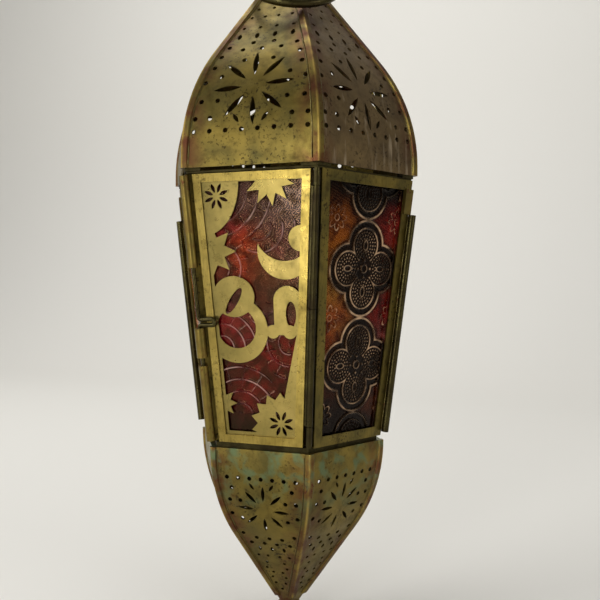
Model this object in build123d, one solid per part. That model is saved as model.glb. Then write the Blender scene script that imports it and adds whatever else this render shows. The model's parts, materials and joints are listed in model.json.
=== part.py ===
from build123d import *
import os
from math import acos, atan, atan2, cos, degrees, hypot, pi, sin, tan

# Six-sided hanging candle lantern of brass sheet, folded brass channel and pressed glass.
# Millimetres. +Z is up and the origin is the centre of the hole in the hanging eye.
# The door is side 1 and faces -Y. The sides count on anticlockwise, seen from above.

# Outer form, across the flats of the hexagon
SIDES = 6
EAVE_FLATS = 100.8
EAVE_OVERHANG = 1.0
BODY_TAPER = 26.0
SIDE_BOTTOM_FLATS = EAVE_FLATS - BODY_TAPER
BOWL_OVERHANG = 0.4
DOME_TOP_FLATS = 22.0
BOWL_END_FLATS = 7.0

# Heights, from the hanging eye downward
EYE_STAND = 6.0
CAP_RISE = 5.4
DOME_HEIGHT = 86.9
EAVE_GAP = 1.2
TOP_RING_SHEET = 0.8
SIDE_HEIGHT = 113.0
FLOOR_DEPTH = 2.0
BOWL_DEPTH = 79.0

# Dome and bowl sheets
SHEET = 0.8
SEAM_GAP = 0.1
SHOULDER_SHARE = 0.98
DOME_SHOULDER = 29.3
DOME_SHOULDER_RADIUS = 82.0
BOWL_SHOULDER = 21.7
BOWL_SHOULDER_RADIUS = 76.0
BOWL_LIP = 4.2
SEAM_STRIP_SHEET = 0.8
DOME_STRIP_HALF_WIDTH = 2.1
BOWL_STRIP_HALF_WIDTH = 1.8
BOWL_STRIP_STOP = 5.0

# Pierced ornament: distances along the sheet from the eave or the bowl's rim
HOLE_EDGE_MARGIN = 3.0
DOME_HOLE_RADIUS = 1.05
DOME_SMALL_HOLE_RADIUS = 0.8
DOME_SLOT = (3.6, 2.0)
DOME_SLOT_RISE = 28.5
DOME_STAR_HEIGHT = 33.5
DOME_STAR_TILT = 4.0
DOME_PETAL_START = 5.2
DOME_PETAL_END = 17.4
DOME_PETAL_WIDTH = 2.4
DOME_LEAFLET = (4.6, 1.6)
DOME_LEAFLET_PLACE = (6.2, 14.2)
DOME_INNER_HOLE_PLACE = (6.4, 13.5)
BOWL_HOLE_RADIUS = 0.95
BOWL_SMALL_HOLE_RADIUS = 0.7
BOWL_SLOT = (2.8, 1.5)
BOWL_SLOT_RISE = 22.9
BOWL_STAR_HEIGHT = 27.0
BOWL_STAR_TILT = 3.0
BOWL_PETAL_START = 4.4
BOWL_PETAL_END = 11.4
BOWL_PETAL_WIDTH = 1.6
BOWL_LEAFLET = (3.4, 1.2)
BOWL_LEAFLET_PLACE = (4.4, 11.0)
LEAFLET_LEAN = 55.0
PETALS = 8

# Glazed sides: folded channel frames round each pane
STRIP_WIDTH = 4.4
DOOR_STRIP_WIDTH = 3.4
CHANNEL_SHEET = 0.6
CHANNEL_SLOT = 2.6
CORNER_SETBACK = 2.5
MITRE_SETBACK = 0.05
GLASS_THICKNESS = 2.4
PANE_RIM = 3.0
RELIEF_DEPTH = 0.8
RIDGE_WIDTH = 1.0
MOTIF_PITCH = 41.1
MOTIF_ACROSS = 3.2
MOTIF_HEIGHT = 74.4
MOTIF_ROWS = (-2, -1, 0, 1)
LOBE_OFFSET = 9.8
LOBE_RADII = (10.3, 7.2)
LOBE_WAIST = 2.0
STUD_RADIUS = 1.4
FLOWER_OFFSET = 18.2
FLOWER_RADIUS = 4.2
GLASS_SIDE_CLEARANCE = 0.3
DOOR_CLEARANCE = 0.5
DOOR_GLASS_THICKNESS = 1.9

# Corner rods and clips, hinge and latch
CORNER_ROD_DIAMETER = 3.3
CORNER_ROD_SEAT = 0.05
CORNER_ROD_END = 2.0
CLIP_SHEET = 0.8
CLIP_SEAT = 0.05
CLIP_WIDTH = 4.2
CLIP_LENGTH = 11.0
CLIP_DROP = 4.0
ROD_FIT = 0.05
ROD_TAIL = 0.8
SLEEVE_END = 1.0
LUG_SHEET = 0.8
HINGE_INSET = 1.5
HINGE_ROD_DIAMETER = 1.6
HINGE_HEAD_DIAMETER = 2.4
HINGE_TUBE_DIAMETER = 2.8
HINGE_LUG_DEPTH = 0.9
HINGE_UPPER_SLEEVE = 6.0
HINGE_LOWER_SLEEVE = 8.0
KNUCKLE_GAP = 0.3
LATCH_OUTSET = 0.8
LATCH_TUBE_DIAMETER = 4.0
LATCH_LUG_DEPTH = 0.3
LATCH_WIRE = 1.8
LATCH_DROP = 62.0
LATCH_BARE_ROD = 21.0
LATCH_REACH = 8.8
LATCH_LEG_SPACING = 2.4
LATCH_BEND = 1.1
LATCH_CLEARANCE = 0.3
KEEPER_LENGTH = 12.5
KEEPER_DIAMETER = 4.6
KEEPER_STEP = 3.5

# Floor, tealight cup, top ring and brackets
FLOOR_SHEET = 0.8
FLOOR_RECESS = 1.6
CUP_BORE = 40.0
CUP_HEIGHT = 9.0
CUP_WALL = 0.8
TOP_RING_RECESS = 0.6
TOP_RING_WIDTH = 4.5
BRACKET_LEG = 7.0
BRACKET_RISE = 3.5
BRACKET_FIT = 0.05

# Crown cap, hanging eye and ring
CAP_SHEET = 1.2
CAP_CROWN_RADIUS = 9.5
CAP_TOP_RADIUS = 6.5
CAP_CROWN_SWELL = 0.72
CAP_SKIRT = 2.0
CAP_SKIRT_CLEARANCE = 0.3
EYE_WIDTH = 11.0
EYE_THICKNESS = 2.6
EYE_CLEARANCE = 0.4
EYE_SHANK_DIAMETER = 4.0
EYE_RIVET_RISE = 1.0
EYE_WASHER_DIAMETER = 9.0
EYE_WASHER_THICKNESS = 1.0
RING_RADIUS = 20.0
RING_WIRE = 3.8
RING_REST_CLEARANCE = 0.3
RING_TURN_FROM_HINGE = 6.0

# Tip bead under the bowl
TIP_RADIUS = 5.0
TIP_CONE_HEIGHT = 4.0
TIP_BALL_RADIUS = 3.0

# Door fretwork: one cut brass sheet in front of the door glass
FRET_SHEET = 0.5
FRET_BORDER = 0.3
FRET_LEFT_BAND = 1.5
FRET_SILL_BAND = 1.6
FRET_RIGHT_BAND = (7.0, 0.7)
CORNER_LEAF = (16.4, 22.0)
CORNER_FLOWER_INSET = (6.5, 5.9)
FLOWER_PETAL_START = 1.4
FLOWER_PETAL_END = 5.6
FLOWER_PETAL_WIDTH = 1.5
TOP_STAR_INSET = 14.0
TOP_STAR_TILT = 6.0
TOP_STAR_POINTS = 10
TOP_STAR = (10.6, 6.0)
LEFT_STAR_INSET = 1.7
LEFT_STAR_DROP = 31.8
LEFT_STAR_POINTS = 8
LEFT_STAR = (10.8, 6.1)
MOON_INSET = 6.7
MOON_DROP = 31.7
MOON_RADIUS = 11.7
MOON_BITE_RADIUS = 12.8
MOON_BITE_SHIFT = 8.5
HALF_DISC_DROP = 27.0
HALF_DISC_RADIUS = 5.2
BIG_MOON_INSET = 9.4
BIG_MOON_HEIGHT = 48.6
BIG_MOON_RADIUS = 13.8
BIG_MOON_BITE_RADIUS = 8.6
BIG_MOON_BITE_SHIFT = 1.0
SMALL_MOON_SHIFT = -0.8
SMALL_MOON_RISE = 14.0
SMALL_MOON = (9.2, 8.5)
SMALL_MOON_SLOT = (6.3, 1.9)
SMALL_MOON_SLOT_DROP = 1.8
SMALL_MOON_SLOT_LEAN = 57.0
ARCH_INSET = 4.2
ARCH_HEIGHT = 47.0
ARCH_RISE = 14.2
ARCH_HALF_WIDTH = 5.9
ARCH_OVAL = (2.2, 5.3)
ARCH_OVAL_PLACE = (1.4, 8.5)
ARCH_FOOT_RADIUS = 2.8
ARCH_FEET = (-6.6, 0.7)
ARCH_FOOT_RISE = 1.3
SUN_INSET = 6.3
SUN_HEIGHT = 9.5
SUN_POINTS = 14
SUN = (13.4, 10.4)
SUN_FLOWER_RISE = 0.3
FOOT_STAR_HEIGHT = 17.5
FOOT_STAR_POINTS = 8
FOOT_STAR = (6.4, 3.6)

# Derived levels and directions
STEP = 360 / SIDES
HALF = pi / SIDES
CAP_TOP_Z = -EYE_STAND
DOME_TOP_Z = CAP_TOP_Z - CAP_RISE
EAVE_Z = DOME_TOP_Z - DOME_HEIGHT
TOP_RING_Z = EAVE_Z - EAVE_GAP
SIDE_TOP_Z = TOP_RING_Z - TOP_RING_SHEET
SIDE_BOTTOM_Z = SIDE_TOP_Z - SIDE_HEIGHT
BOWL_TOP_Z = SIDE_BOTTOM_Z - FLOOR_DEPTH
BOWL_END_Z = BOWL_TOP_Z - BOWL_DEPTH
SIDE_TOP = EAVE_FLATS / 2 - EAVE_OVERHANG
SIDE_BOTTOM = SIDE_BOTTOM_FLATS / 2
BOWL_RIM = SIDE_BOTTOM + BOWL_OVERHANG
DEPTH = 2 * CHANNEL_SHEET + CHANNEL_SLOT
FACE_LEAN = atan2(SIDE_TOP - SIDE_BOTTOM, SIDE_HEIGHT)
FACE_HEIGHT = hypot(SIDE_TOP - SIDE_BOTTOM, SIDE_HEIGHT)
HALF_TOP = SIDE_TOP * tan(HALF)
HALF_BOTTOM = SIDE_BOTTOM * tan(HALF)
EDGE_SLOPE = (HALF_TOP - HALF_BOTTOM) / FACE_HEIGHT
EDGE_STRETCH = hypot(1, EDGE_SLOPE)
SQUARE_EDGE = (CORNER_SETBACK, CORNER_SETBACK + CHANNEL_SHEET)
MITRED_EDGE = (MITRE_SETBACK, MITRE_SETBACK + CHANNEL_SHEET + DEPTH * tan(HALF))
DOOR_EDGE = (CORNER_SETBACK + DOOR_CLEARANCE, CORNER_SETBACK + DOOR_CLEARANCE + CHANNEL_SHEET)
CORNER_RUN = (SIDE_TOP - SIDE_BOTTOM) / cos(HALF)
CORNER_LENGTH = hypot(CORNER_RUN, SIDE_HEIGHT)
CORNER_LEAN = atan2(CORNER_RUN, SIDE_HEIGHT)
DOOR_HINGE_CORNER = 0
DOOR_LATCH_CORNER = SIDES - 1
OVERCUT = 1.0
SHEET_OVERRUN = 4 * SHEET
PUNCH_REACH = 3 * SHEET


def turned(shape, count):
    """A copy of a piece of side 1 or corner 1, turned on by whole sides."""
    return Rot(0, 0, STEP * count) * shape


def slab(low, high):
    """Everything between two heights."""
    reach = 4 * EAVE_FLATS
    return Pos(0, 0, (low + high) / 2) * Box(reach, reach, high - low)


def hexagon(apothem, low, high):
    """Upright prism with a flat side towards -Y."""
    flat = RegularPolygon(apothem, SIDES, major_radius=False, rotation=-90 - STEP / 2)
    return extrude(Pos(0, 0, low) * flat, amount=high - low)


class Shell:
    """Section of a domed sheet: upright wall, round shoulder, straight slope. Heights run from the rim."""

    def __init__(self, rim, shoulder, radius, end, height, rim_z, way):
        self.rim = rim
        self.rim_z = rim_z
        self.way = way
        self.height = height
        self.turn = atan2(rim - end, height - shoulder)
        slope = hypot(rim - end, height - shoulder)
        self.radius = min(radius, SHOULDER_SHARE * min(shoulder, slope) / tan(self.turn / 2))
        tangent = self.radius * tan(self.turn / 2)
        self.wall = shoulder - tangent
        self.bend = self.radius * self.turn
        self.length = self.wall + self.bend + slope - tangent

    def point(self, along, offset=0.0):
        """Radius, world height and slope angle at a distance along the sheet."""
        angle = min(max(along - self.wall, 0) / self.radius, self.turn)
        past = max(along - self.wall - self.bend, 0)
        radius = self.rim - self.radius * (1 - cos(angle)) - past * sin(angle)
        rise = min(along, self.wall) + self.radius * sin(angle) + past * cos(angle)
        radius += offset * cos(angle)
        rise += offset * sin(angle)
        return radius, self.rim_z + self.way * rise, angle

    def half_width(self, along):
        """Half the panel's width at a distance along the sheet."""
        return self.point(along)[0] * tan(HALF)

    def section_edges(self, offset):
        """Wall, shoulder and slope as edges in the plane of radius and height."""
        ends = (0, self.wall, self.wall + self.bend, self.length + SHEET_OVERRUN)
        points = [self.point(along, offset)[:2] for along in ends]
        middle = self.point(self.wall + self.bend / 2, offset)[:2]
        return [
            Line(points[0], points[1]),
            ThreePointArc(points[1], middle, points[2]),
            Line(points[2], points[3]),
        ]

    def sheet_face(self, inner, outer):
        """Section of the sheet between two offsets."""
        front = self.section_edges(outer)
        back = self.section_edges(inner)
        foot = Line(front[0] @ 0, back[0] @ 0)
        head = Line(front[2] @ 1, back[2] @ 1)
        return make_face([*front, *back, foot, head])

    def core_face(self, offset):
        """Section from the axis out to the sheet."""
        front = self.section_edges(offset)
        low = front[0] @ 0
        high = front[2] @ 1
        lines = [Line(low, (0, low.Y)), Line((0, low.Y), (0, high.Y)), Line((0, high.Y), high)]
        return make_face([*front, *lines])

    def levels(self):
        """Lowest and highest height of the sheet."""
        end_z = self.rim_z + self.way * self.height
        return min(self.rim_z, end_z), max(self.rim_z, end_z)

    def hole_plane(self, across, along):
        """Plane on the outside of side 1's sheet, X across and Y along it."""
        radius, height, angle = self.point(along)
        normal = (0, -cos(angle), self.way * sin(angle))
        return Plane(origin=(across, -radius, height), x_dir=(1, 0, 0), z_dir=normal)


SECTION_PLANE = Plane(origin=(0, 0, 0), x_dir=(0, -1, 0), z_dir=(-1, 0, 0))
DOME_RIM = EAVE_FLATS / 2
DOME_END = DOME_TOP_FLATS / 2
DOME = Shell(DOME_RIM, DOME_SHOULDER, DOME_SHOULDER_RADIUS, DOME_END, DOME_HEIGHT, EAVE_Z, 1)
BOWL = Shell(BOWL_RIM, BOWL_SHOULDER, BOWL_SHOULDER_RADIUS, BOWL_END_FLATS / 2, BOWL_DEPTH, BOWL_TOP_Z, -1)


def across_side(face, half_length):
    """A section carried sideways along side 1, both ways."""
    return extrude(SECTION_PLANE * face, amount=half_length, both=True)


def mitre_wedge(low, high):
    """Side 1's share of the lantern between its two corner planes, less half a seam."""
    reach = 2 * EAVE_FLATS
    start = SEAM_GAP / 2 / sin(HALF)
    wide = (reach - start) * tan(HALF)
    outline = Polygon((0, -start), (-wide, -reach), (wide, -reach), align=None)
    return extrude(Pos(0, 0, low) * outline, amount=high - low)


def petal(length, width):
    """Pointed oval, lying along X."""
    upper = ThreePointArc((-length / 2, 0), (0, width / 2), (length / 2, 0))
    lower = ThreePointArc((-length / 2, 0), (0, -width / 2), (length / 2, 0))
    return make_face([upper, lower])


def punch(shell, across, along, outline):
    """Tool that cuts an outline through the sheet at right angles to it."""
    return extrude(shell.hole_plane(across, along) * outline, amount=PUNCH_REACH, both=True)


def hole_rows(shell, rows, radius):
    """Round holes: each row has a distance along the sheet and places as shares of the half width."""
    tools = []
    for along, shares in rows:
        if along > shell.length - HOLE_EDGE_MARGIN:
            continue
        reach = shell.half_width(along) - HOLE_EDGE_MARGIN
        for share in shares:
            tools.append(punch(shell, share * reach, along, Circle(radius)))
    return tools


def even_row(count, share=1.0):
    """Evenly spaced places from one edge to the other."""
    return [share * (2 * index / (count - 1) - 1) for index in range(count)]


def pair(*shares):
    """The same places on both halves of a panel."""
    return [sign * share for share in shares for sign in (-1, 1)]


def petal_star(shell, height, tilt, start, end, width):
    """Ring of pointed petals about the middle of the panel."""
    tools = []
    for index in range(PETALS):
        angle = tilt + 360 * index / PETALS
        turn = angle * pi / 180
        middle = (start + end) / 2
        outline = Rot(0, 0, shell.way * angle) * petal(end - start, width)
        tools.append(punch(shell, middle * cos(turn), height + middle * sin(turn), outline))
    return tools


def slots(shell, along, places, size):
    """Row of pointed slots that stand upright on the sheet."""
    reach = shell.half_width(along) - HOLE_EDGE_MARGIN
    return [punch(shell, share * reach, along, Rot(0, 0, 90) * petal(*size)) for share in places]


def dome_panel():
    """Pierced dome sheet of side 1."""
    low, high = DOME.levels()
    sheet = across_side(DOME.sheet_face(-SHEET, 0), EAVE_FLATS)
    sheet = sheet & mitre_wedge(low, high)
    star = DOME_STAR_HEIGHT
    rows = [
        (star - 19.0, even_row(8, 0.95)),
        (star - 13.5, pair(0.70, 0.96)),
        (star - 6.0, pair(0.62, 0.92)),
        (star + 2.9, pair(0.97)),
        (star + 5.5, pair(0.68)),
        (star + 10.5, pair(0.93)),
        (star + 16.5, pair(0.92)),
        (star + 20.0, [-0.48, 0, 0.48]),
        (star + 22.0, pair(0.88)),
        (star + 24.0, pair(0.28)),
    ]
    small_rows = [
        (star + 34.0, even_row(4, 0.85)),
        (star + 41.0, even_row(4, 0.85)),
        (star + 46.5, even_row(3, 0.80)),
        (star + 52.0, even_row(3, 0.75)),
    ]
    tools = hole_rows(DOME, rows, DOME_HOLE_RADIUS) + hole_rows(DOME, small_rows, DOME_SMALL_HOLE_RADIUS)
    tools += petal_star(
        DOME, star, DOME_STAR_TILT, DOME_PETAL_START, DOME_PETAL_END, DOME_PETAL_WIDTH
    )
    tools += slots(DOME, star + DOME_SLOT_RISE, even_row(4, 0.80), DOME_SLOT)
    for side in (-1, 1):
        leaflet = Rot(0, 0, side * LEAFLET_LEAN) * petal(*DOME_LEAFLET)
        across, drop = DOME_LEAFLET_PLACE
        tools.append(punch(DOME, side * across, star - drop, leaflet))
        across, rise = DOME_INNER_HOLE_PLACE
        tools.append(punch(DOME, side * across, star + rise, Circle(DOME_HOLE_RADIUS)))
    return sheet.cut(*tools)


def bowl_panel():
    """Pierced bowl sheet of side 1, with the lip that the floor plate stands on."""
    low, high = BOWL.levels()
    lip = Polygon(
        (BOWL_RIM - BOWL_LIP, BOWL_TOP_Z - SHEET),
        (BOWL_RIM - SHEET / 2, BOWL_TOP_Z - SHEET),
        (BOWL_RIM - SHEET / 2, BOWL_TOP_Z),
        (BOWL_RIM - BOWL_LIP, BOWL_TOP_Z),
        align=None,
    )
    sheet = across_side(BOWL.sheet_face(-SHEET, 0), EAVE_FLATS) + across_side(lip, EAVE_FLATS)
    sheet = sheet & mitre_wedge(low, high)
    star = BOWL_STAR_HEIGHT
    rows = [
        (star - 14.5, even_row(7, 0.84)),
        (star - 9.8, pair(0.76)),
        (star - 4.0, pair(0.60, 0.88)),
        (star + 3.0, pair(0.95)),
        (star + 5.2, pair(0.68)),
        (star + 14.0, pair(0.92)),
        (star + 16.2, even_row(3, 0.48)),
        (star + 19.6, pair(0.26, 0.80)),
    ]
    small_rows = [
        (star + 27.5, pair(0.32, 0.82)),
        (star + 32.0, pair(0.55)),
        (star + 35.5, pair(0.74)),
        (star + 38.3, pair(0.40)),
        (star + 41.7, pair(0.70)),
        (star + 45.7, pair(0.70)),
        (star + 49.8, [0]),
    ]
    tools = hole_rows(BOWL, rows, BOWL_HOLE_RADIUS) + hole_rows(BOWL, small_rows, BOWL_SMALL_HOLE_RADIUS)
    tools += petal_star(
        BOWL, star, BOWL_STAR_TILT, BOWL_PETAL_START, BOWL_PETAL_END, BOWL_PETAL_WIDTH
    )
    tools += slots(BOWL, star + BOWL_SLOT_RISE, even_row(3, 0.55), BOWL_SLOT)
    for side in (-1, 1):
        leaflet = Rot(0, 0, side * LEAFLET_LEAN) * petal(*BOWL_LEAFLET)
        across, drop = BOWL_LEAFLET_PLACE
        tools.append(punch(BOWL, side * across, star - drop, leaflet))
    return sheet.cut(*tools)


def seam_strip(shell, half_width, low, high):
    """Folded strip over the corner between side 1 and side 2."""
    def core(offset):
        half = across_side(shell.core_face(offset), EAVE_FLATS)
        return half & turned(half, 1)

    cap = core(SEAM_STRIP_SHEET) - core(0)
    reach = EAVE_FLATS
    along_corner = Rot(0, 0, STEP / 2 - 90) * (Pos(reach / 2, 0, (low + high) / 2) * Box(
        reach, 2 * half_width, high - low
    ))
    return cap & along_corner


def side_plane():
    """Front plane of side 1: X across, Y up the lean, Z outward, Y = 0 at the bottom."""
    normal = (0, -cos(FACE_LEAN), -sin(FACE_LEAN))
    return Plane(origin=(0, -SIDE_BOTTOM, SIDE_BOTTOM_Z), x_dir=(1, 0, 0), z_dir=normal)


def edge_x(height, inset):
    """Half width of a side at a height, less an inset at right angles to its slanting edge."""
    return HALF_BOTTOM + EDGE_SLOPE * height - inset * EDGE_STRETCH


def trapezoid(low, high, left, right):
    """Outline of a side between two heights, with its slanting edges moved in."""
    return Polygon(
        (-edge_x(low, left), low),
        (edge_x(low, right), low),
        (edge_x(high, right), high),
        (-edge_x(high, left), high),
        align=None,
    )


def plate(outline, front, back):
    """An outline on side 1, between two depths behind the front plane."""
    plane = side_plane().offset(-back)
    return extrude(plane * outline, amount=back - front)


def stile_outline(low, high, outer, inner, side):
    """Slanting band along one edge of a side."""
    points = [
        (edge_x(low, inner), low),
        (edge_x(low, outer), low),
        (edge_x(high, outer), high),
        (edge_x(high, inner), high),
    ]
    if side < 0:
        points = [(-x, y) for x, y in reversed(points)]
    return Polygon(*points, align=None)


def frame_pieces(left, right, low_z, high_z, strip):
    """Top rail, bottom rail and pair of stiles of one channel frame, trimmed level at both ends.

    Each edge is given by its setback from the corner and the inset of the channel's web."""
    bottom = (low_z - SIDE_BOTTOM_Z) / cos(FACE_LEAN)
    top = FACE_HEIGHT - (SIDE_TOP_Z - high_z) / cos(FACE_LEAN)
    level = slab(low_z, high_z)
    slot_front = CHANNEL_SHEET
    slot_back = CHANNEL_SHEET + CHANNEL_SLOT
    outer = (left[0], right[0])
    web = (left[1], right[1])
    low_rail = bottom + strip
    high_rail = top - strip

    rail = plate(trapezoid(high_rail, top + OVERCUT, *outer), 0, DEPTH)
    slot = plate(trapezoid(high_rail - OVERCUT, top - CHANNEL_SHEET, *web), slot_front, slot_back)
    top_rail = (rail - slot) & level

    rail = plate(trapezoid(bottom - OVERCUT, low_rail, *outer), 0, DEPTH)
    slot = plate(trapezoid(bottom + CHANNEL_SHEET, low_rail + OVERCUT, *web), slot_front, slot_back)
    bottom_rail = (rail - slot) & level

    stiles = []
    for side, (setback, inset) in ((-1, left), (1, right)):
        inner = setback + strip
        bar = plate(stile_outline(low_rail, high_rail, setback, inner, side), 0, DEPTH)
        slot = plate(
            stile_outline(low_rail - OVERCUT, high_rail + OVERCUT, inset, inner + OVERCUT, side),
            slot_front,
            slot_back,
        )
        stiles.append(bar - slot)
    return top_rail, bottom_rail, stiles, bottom, top


def pane_outline(left, right, bottom, top, rim):
    """Outline of a pane inside its channels, or of its ground inside a rim."""
    insets = (left[1] + GLASS_SIDE_CLEARANCE + rim, right[1] + GLASS_SIDE_CLEARANCE + rim)
    head = top - CHANNEL_SHEET - GLASS_SIDE_CLEARANCE
    return trapezoid(bottom + CHANNEL_SHEET + rim, head - rim, *insets)


def quatrefoil(radius):
    """Four round lobes about a middle."""
    outline = Circle(radius - LOBE_WAIST)
    for x, y in ((1, 0), (0, 1), (-1, 0), (0, -1)):
        outline = outline + Pos(x * LOBE_OFFSET, y * LOBE_OFFSET) * Circle(radius)
    return outline


def pressed_pane(left, right, bottom, top, front):
    """Glass with a column of raised quatrefoils, and studs and flowers between, on a sunk ground."""
    blank = pane_outline(left, right, bottom, top, 0)
    ground = pane_outline(left, right, bottom, top, PANE_RIM)
    half = RIDGE_WIDTH / 2
    figure = Circle(FLOWER_RADIUS + half) - Circle(FLOWER_RADIUS - half)
    flowers = Pos(-FLOWER_OFFSET, 0) * figure + Pos(FLOWER_OFFSET, 0) * figure
    raised = blank - ground
    for row in MOTIF_ROWS:
        middle = Pos(MOTIF_ACROSS, MOTIF_HEIGHT + row * MOTIF_PITCH)
        between = Pos(MOTIF_ACROSS, MOTIF_HEIGHT + (row + 0.5) * MOTIF_PITCH)
        for radius in LOBE_RADII:
            raised = raised + (middle * (quatrefoil(radius + half) - quatrefoil(radius - half)) & ground)
        raised = raised + (between * (flowers + Circle(STUD_RADIUS)) & ground)
    floor = front + RELIEF_DEPTH
    return plate(blank, floor, front + GLASS_THICKNESS) + plate(raised, front, floor)


def star_outline(points, outer, inner):
    """Star with a point upward."""
    corners = []
    for index in range(2 * points):
        angle = pi / 2 + pi * index / points
        radius = inner if index % 2 else outer
        corners.append((radius * cos(angle), radius * sin(angle)))
    return Polygon(*corners, align=None)


def flower(place):
    """Eight petals cut out round a place on the fretwork."""
    cuts = []
    middle = (FLOWER_PETAL_START + FLOWER_PETAL_END) / 2
    for index in range(PETALS):
        outline = Pos(middle, 0) * petal(FLOWER_PETAL_END - FLOWER_PETAL_START, FLOWER_PETAL_WIDTH)
        cuts.append(Pos(*place) * (Rot(0, 0, 360 * (index + 0.5) / PETALS) * outline))
    return cuts


def fretwork(setback, bottom, top, front):
    """Cut brass sheet with moons, stars, an arch and flowers, all joined to its border."""
    lip = setback + DOOR_STRIP_WIDTH
    inset = setback + CHANNEL_SHEET + GLASS_SIDE_CLEARANCE
    low = bottom + CHANNEL_SHEET
    high = top - CHANNEL_SHEET - GLASS_SIDE_CLEARANCE
    sill = bottom + DOOR_STRIP_WIDTH
    head = top - DOOR_STRIP_WIDTH
    blank = trapezoid(low, high, inset, inset)

    def from_left(height, distance):
        return (distance - edge_x(height, lip), height)

    def from_right(height, distance):
        return (edge_x(height, lip) - distance, height)

    border = blank - trapezoid(
        sill + FRET_SILL_BAND, head - FRET_BORDER, lip + FRET_LEFT_BAND, lip + FRET_BORDER
    )
    corner = from_left(head, 0)
    corner_flower = (corner[0] + CORNER_FLOWER_INSET[0], corner[1] - CORNER_FLOWER_INSET[1])
    left_star = from_left(top - LEFT_STAR_DROP, LEFT_STAR_INSET)
    moon = from_right(top - MOON_DROP, MOON_INSET)
    half_disc = from_right(top - HALF_DISC_DROP, 0)
    big_moon = from_left(BIG_MOON_HEIGHT, BIG_MOON_INSET)
    small_moon = (big_moon[0] + SMALL_MOON_SHIFT, big_moon[1] + SMALL_MOON_RISE)
    arch = from_right(ARCH_HEIGHT, ARCH_INSET)
    sun = from_right(SUN_HEIGHT, SUN_INSET)

    crescent = Pos(*moon) * (Circle(MOON_RADIUS) - Pos(0, MOON_BITE_SHIFT) * Circle(MOON_BITE_RADIUS))
    big_crescent = Pos(*big_moon) * (
        Circle(BIG_MOON_RADIUS) - Pos(0, BIG_MOON_BITE_SHIFT) * Circle(BIG_MOON_BITE_RADIUS)
    )
    slot = Pos(0, -SMALL_MOON_SLOT_DROP) * Rot(0, 0, SMALL_MOON_SLOT_LEAN) * Ellipse(*SMALL_MOON_SLOT)
    niche = (
        Pos(0, ARCH_RISE / 2) * Rectangle(2 * ARCH_HALF_WIDTH, ARCH_RISE)
        + Pos(0, ARCH_RISE) * Circle(ARCH_HALF_WIDTH)
        - Pos(*ARCH_OVAL_PLACE) * Ellipse(*ARCH_OVAL)
    )
    for foot in ARCH_FEET:
        niche = niche + Pos(foot, ARCH_FOOT_RISE) * Circle(ARCH_FOOT_RADIUS)
    right_band = Polygon(
        from_right(SUN_HEIGHT, FRET_RIGHT_BAND[0]),
        from_right(SUN_HEIGHT, -OVERCUT),
        from_right(ARCH_HEIGHT, -OVERCUT),
        from_right(ARCH_HEIGHT, FRET_RIGHT_BAND[1]),
        align=None,
    )
    top_star = star_outline(TOP_STAR_POINTS, *TOP_STAR)
    shapes = [
        Pos(*corner) * Ellipse(*CORNER_LEAF),
        Pos(*from_right(head, TOP_STAR_INSET)) * (Rot(0, 0, TOP_STAR_TILT) * top_star),
        Pos(*left_star) * star_outline(LEFT_STAR_POINTS, *LEFT_STAR),
        crescent,
        Pos(*half_disc) * Circle(HALF_DISC_RADIUS),
        big_crescent,
        Pos(*small_moon) * Ellipse(*SMALL_MOON),
        Pos(*arch) * niche,
        right_band,
        Pos(*sun) * star_outline(SUN_POINTS, *SUN),
        Pos(*from_left(FOOT_STAR_HEIGHT, 0)) * star_outline(FOOT_STAR_POINTS, *FOOT_STAR),
    ]
    art = border
    for shape in shapes:
        art = art + (shape & blank)
    cuts = flower(corner_flower) + flower((sun[0], sun[1] + SUN_FLOWER_RISE))
    for cut in cuts + [Pos(*small_moon) * slot]:
        art = art - cut
    return plate(art, front, front + FRET_SHEET)


def corner_plane(outset):
    """Plane across corner 1, at an outset from it: X outward, Z up the corner, Z = 0 at the side's foot."""
    azimuth = (STEP / 2 - 90) * pi / 180
    out = (cos(azimuth) * cos(CORNER_LEAN), sin(azimuth) * cos(CORNER_LEAN), -sin(CORNER_LEAN))
    up = (cos(azimuth) * sin(CORNER_LEAN), sin(azimuth) * sin(CORNER_LEAN), cos(CORNER_LEAN))
    foot = SIDE_BOTTOM / cos(HALF)
    origin = (
        foot * cos(azimuth) + outset * out[0],
        foot * sin(azimuth) + outset * out[1],
        SIDE_BOTTOM_Z + outset * out[2],
    )
    return Plane(origin=origin, x_dir=out, z_dir=up)


def face_axes(side):
    """Along and inward directions of a neighbouring side, in the corner plane. side is -1 or 1."""
    normal_out = cos(FACE_LEAN) * cos(HALF) * cos(CORNER_LEAN) + sin(FACE_LEAN) * sin(CORNER_LEAN)
    normal_round = side * cos(FACE_LEAN) * sin(HALF)
    size = hypot(normal_out, normal_round)
    normal = (normal_out / size, normal_round / size)
    along = (-side * normal[1], side * normal[0])
    return along, (-normal[0], -normal[1])


def corner_place(side, run, depth):
    """Point in the corner plane, at a run along a neighbouring side and a depth behind its front."""
    along, inward = face_axes(side)
    return (run * along[0] + depth * inward[0], run * along[1] + depth * inward[1])


def lug_outline(side, setback, shallow):
    """Flat lug from a tube to the edge of a neighbouring side."""
    deep = shallow + LUG_SHEET
    spots = [(0, shallow), (0, deep), (setback, deep), (setback, shallow)]
    points = [corner_place(side, run, depth) for run, depth in spots]
    if side > 0:
        points.reverse()
    return Polygon(*points, align=None)


def tube(start, length, outset, diameter, bore, side, setback, lug_depth):
    """Rolled tube at corner 1 with a lug to one neighbouring side."""
    outline = Pos(outset, 0) * Circle(diameter / 2) + lug_outline(side, setback, lug_depth)
    outline = outline - Pos(outset, 0) * Circle(bore / 2)
    return extrude(corner_plane(0).offset(start) * outline, amount=length)


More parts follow.
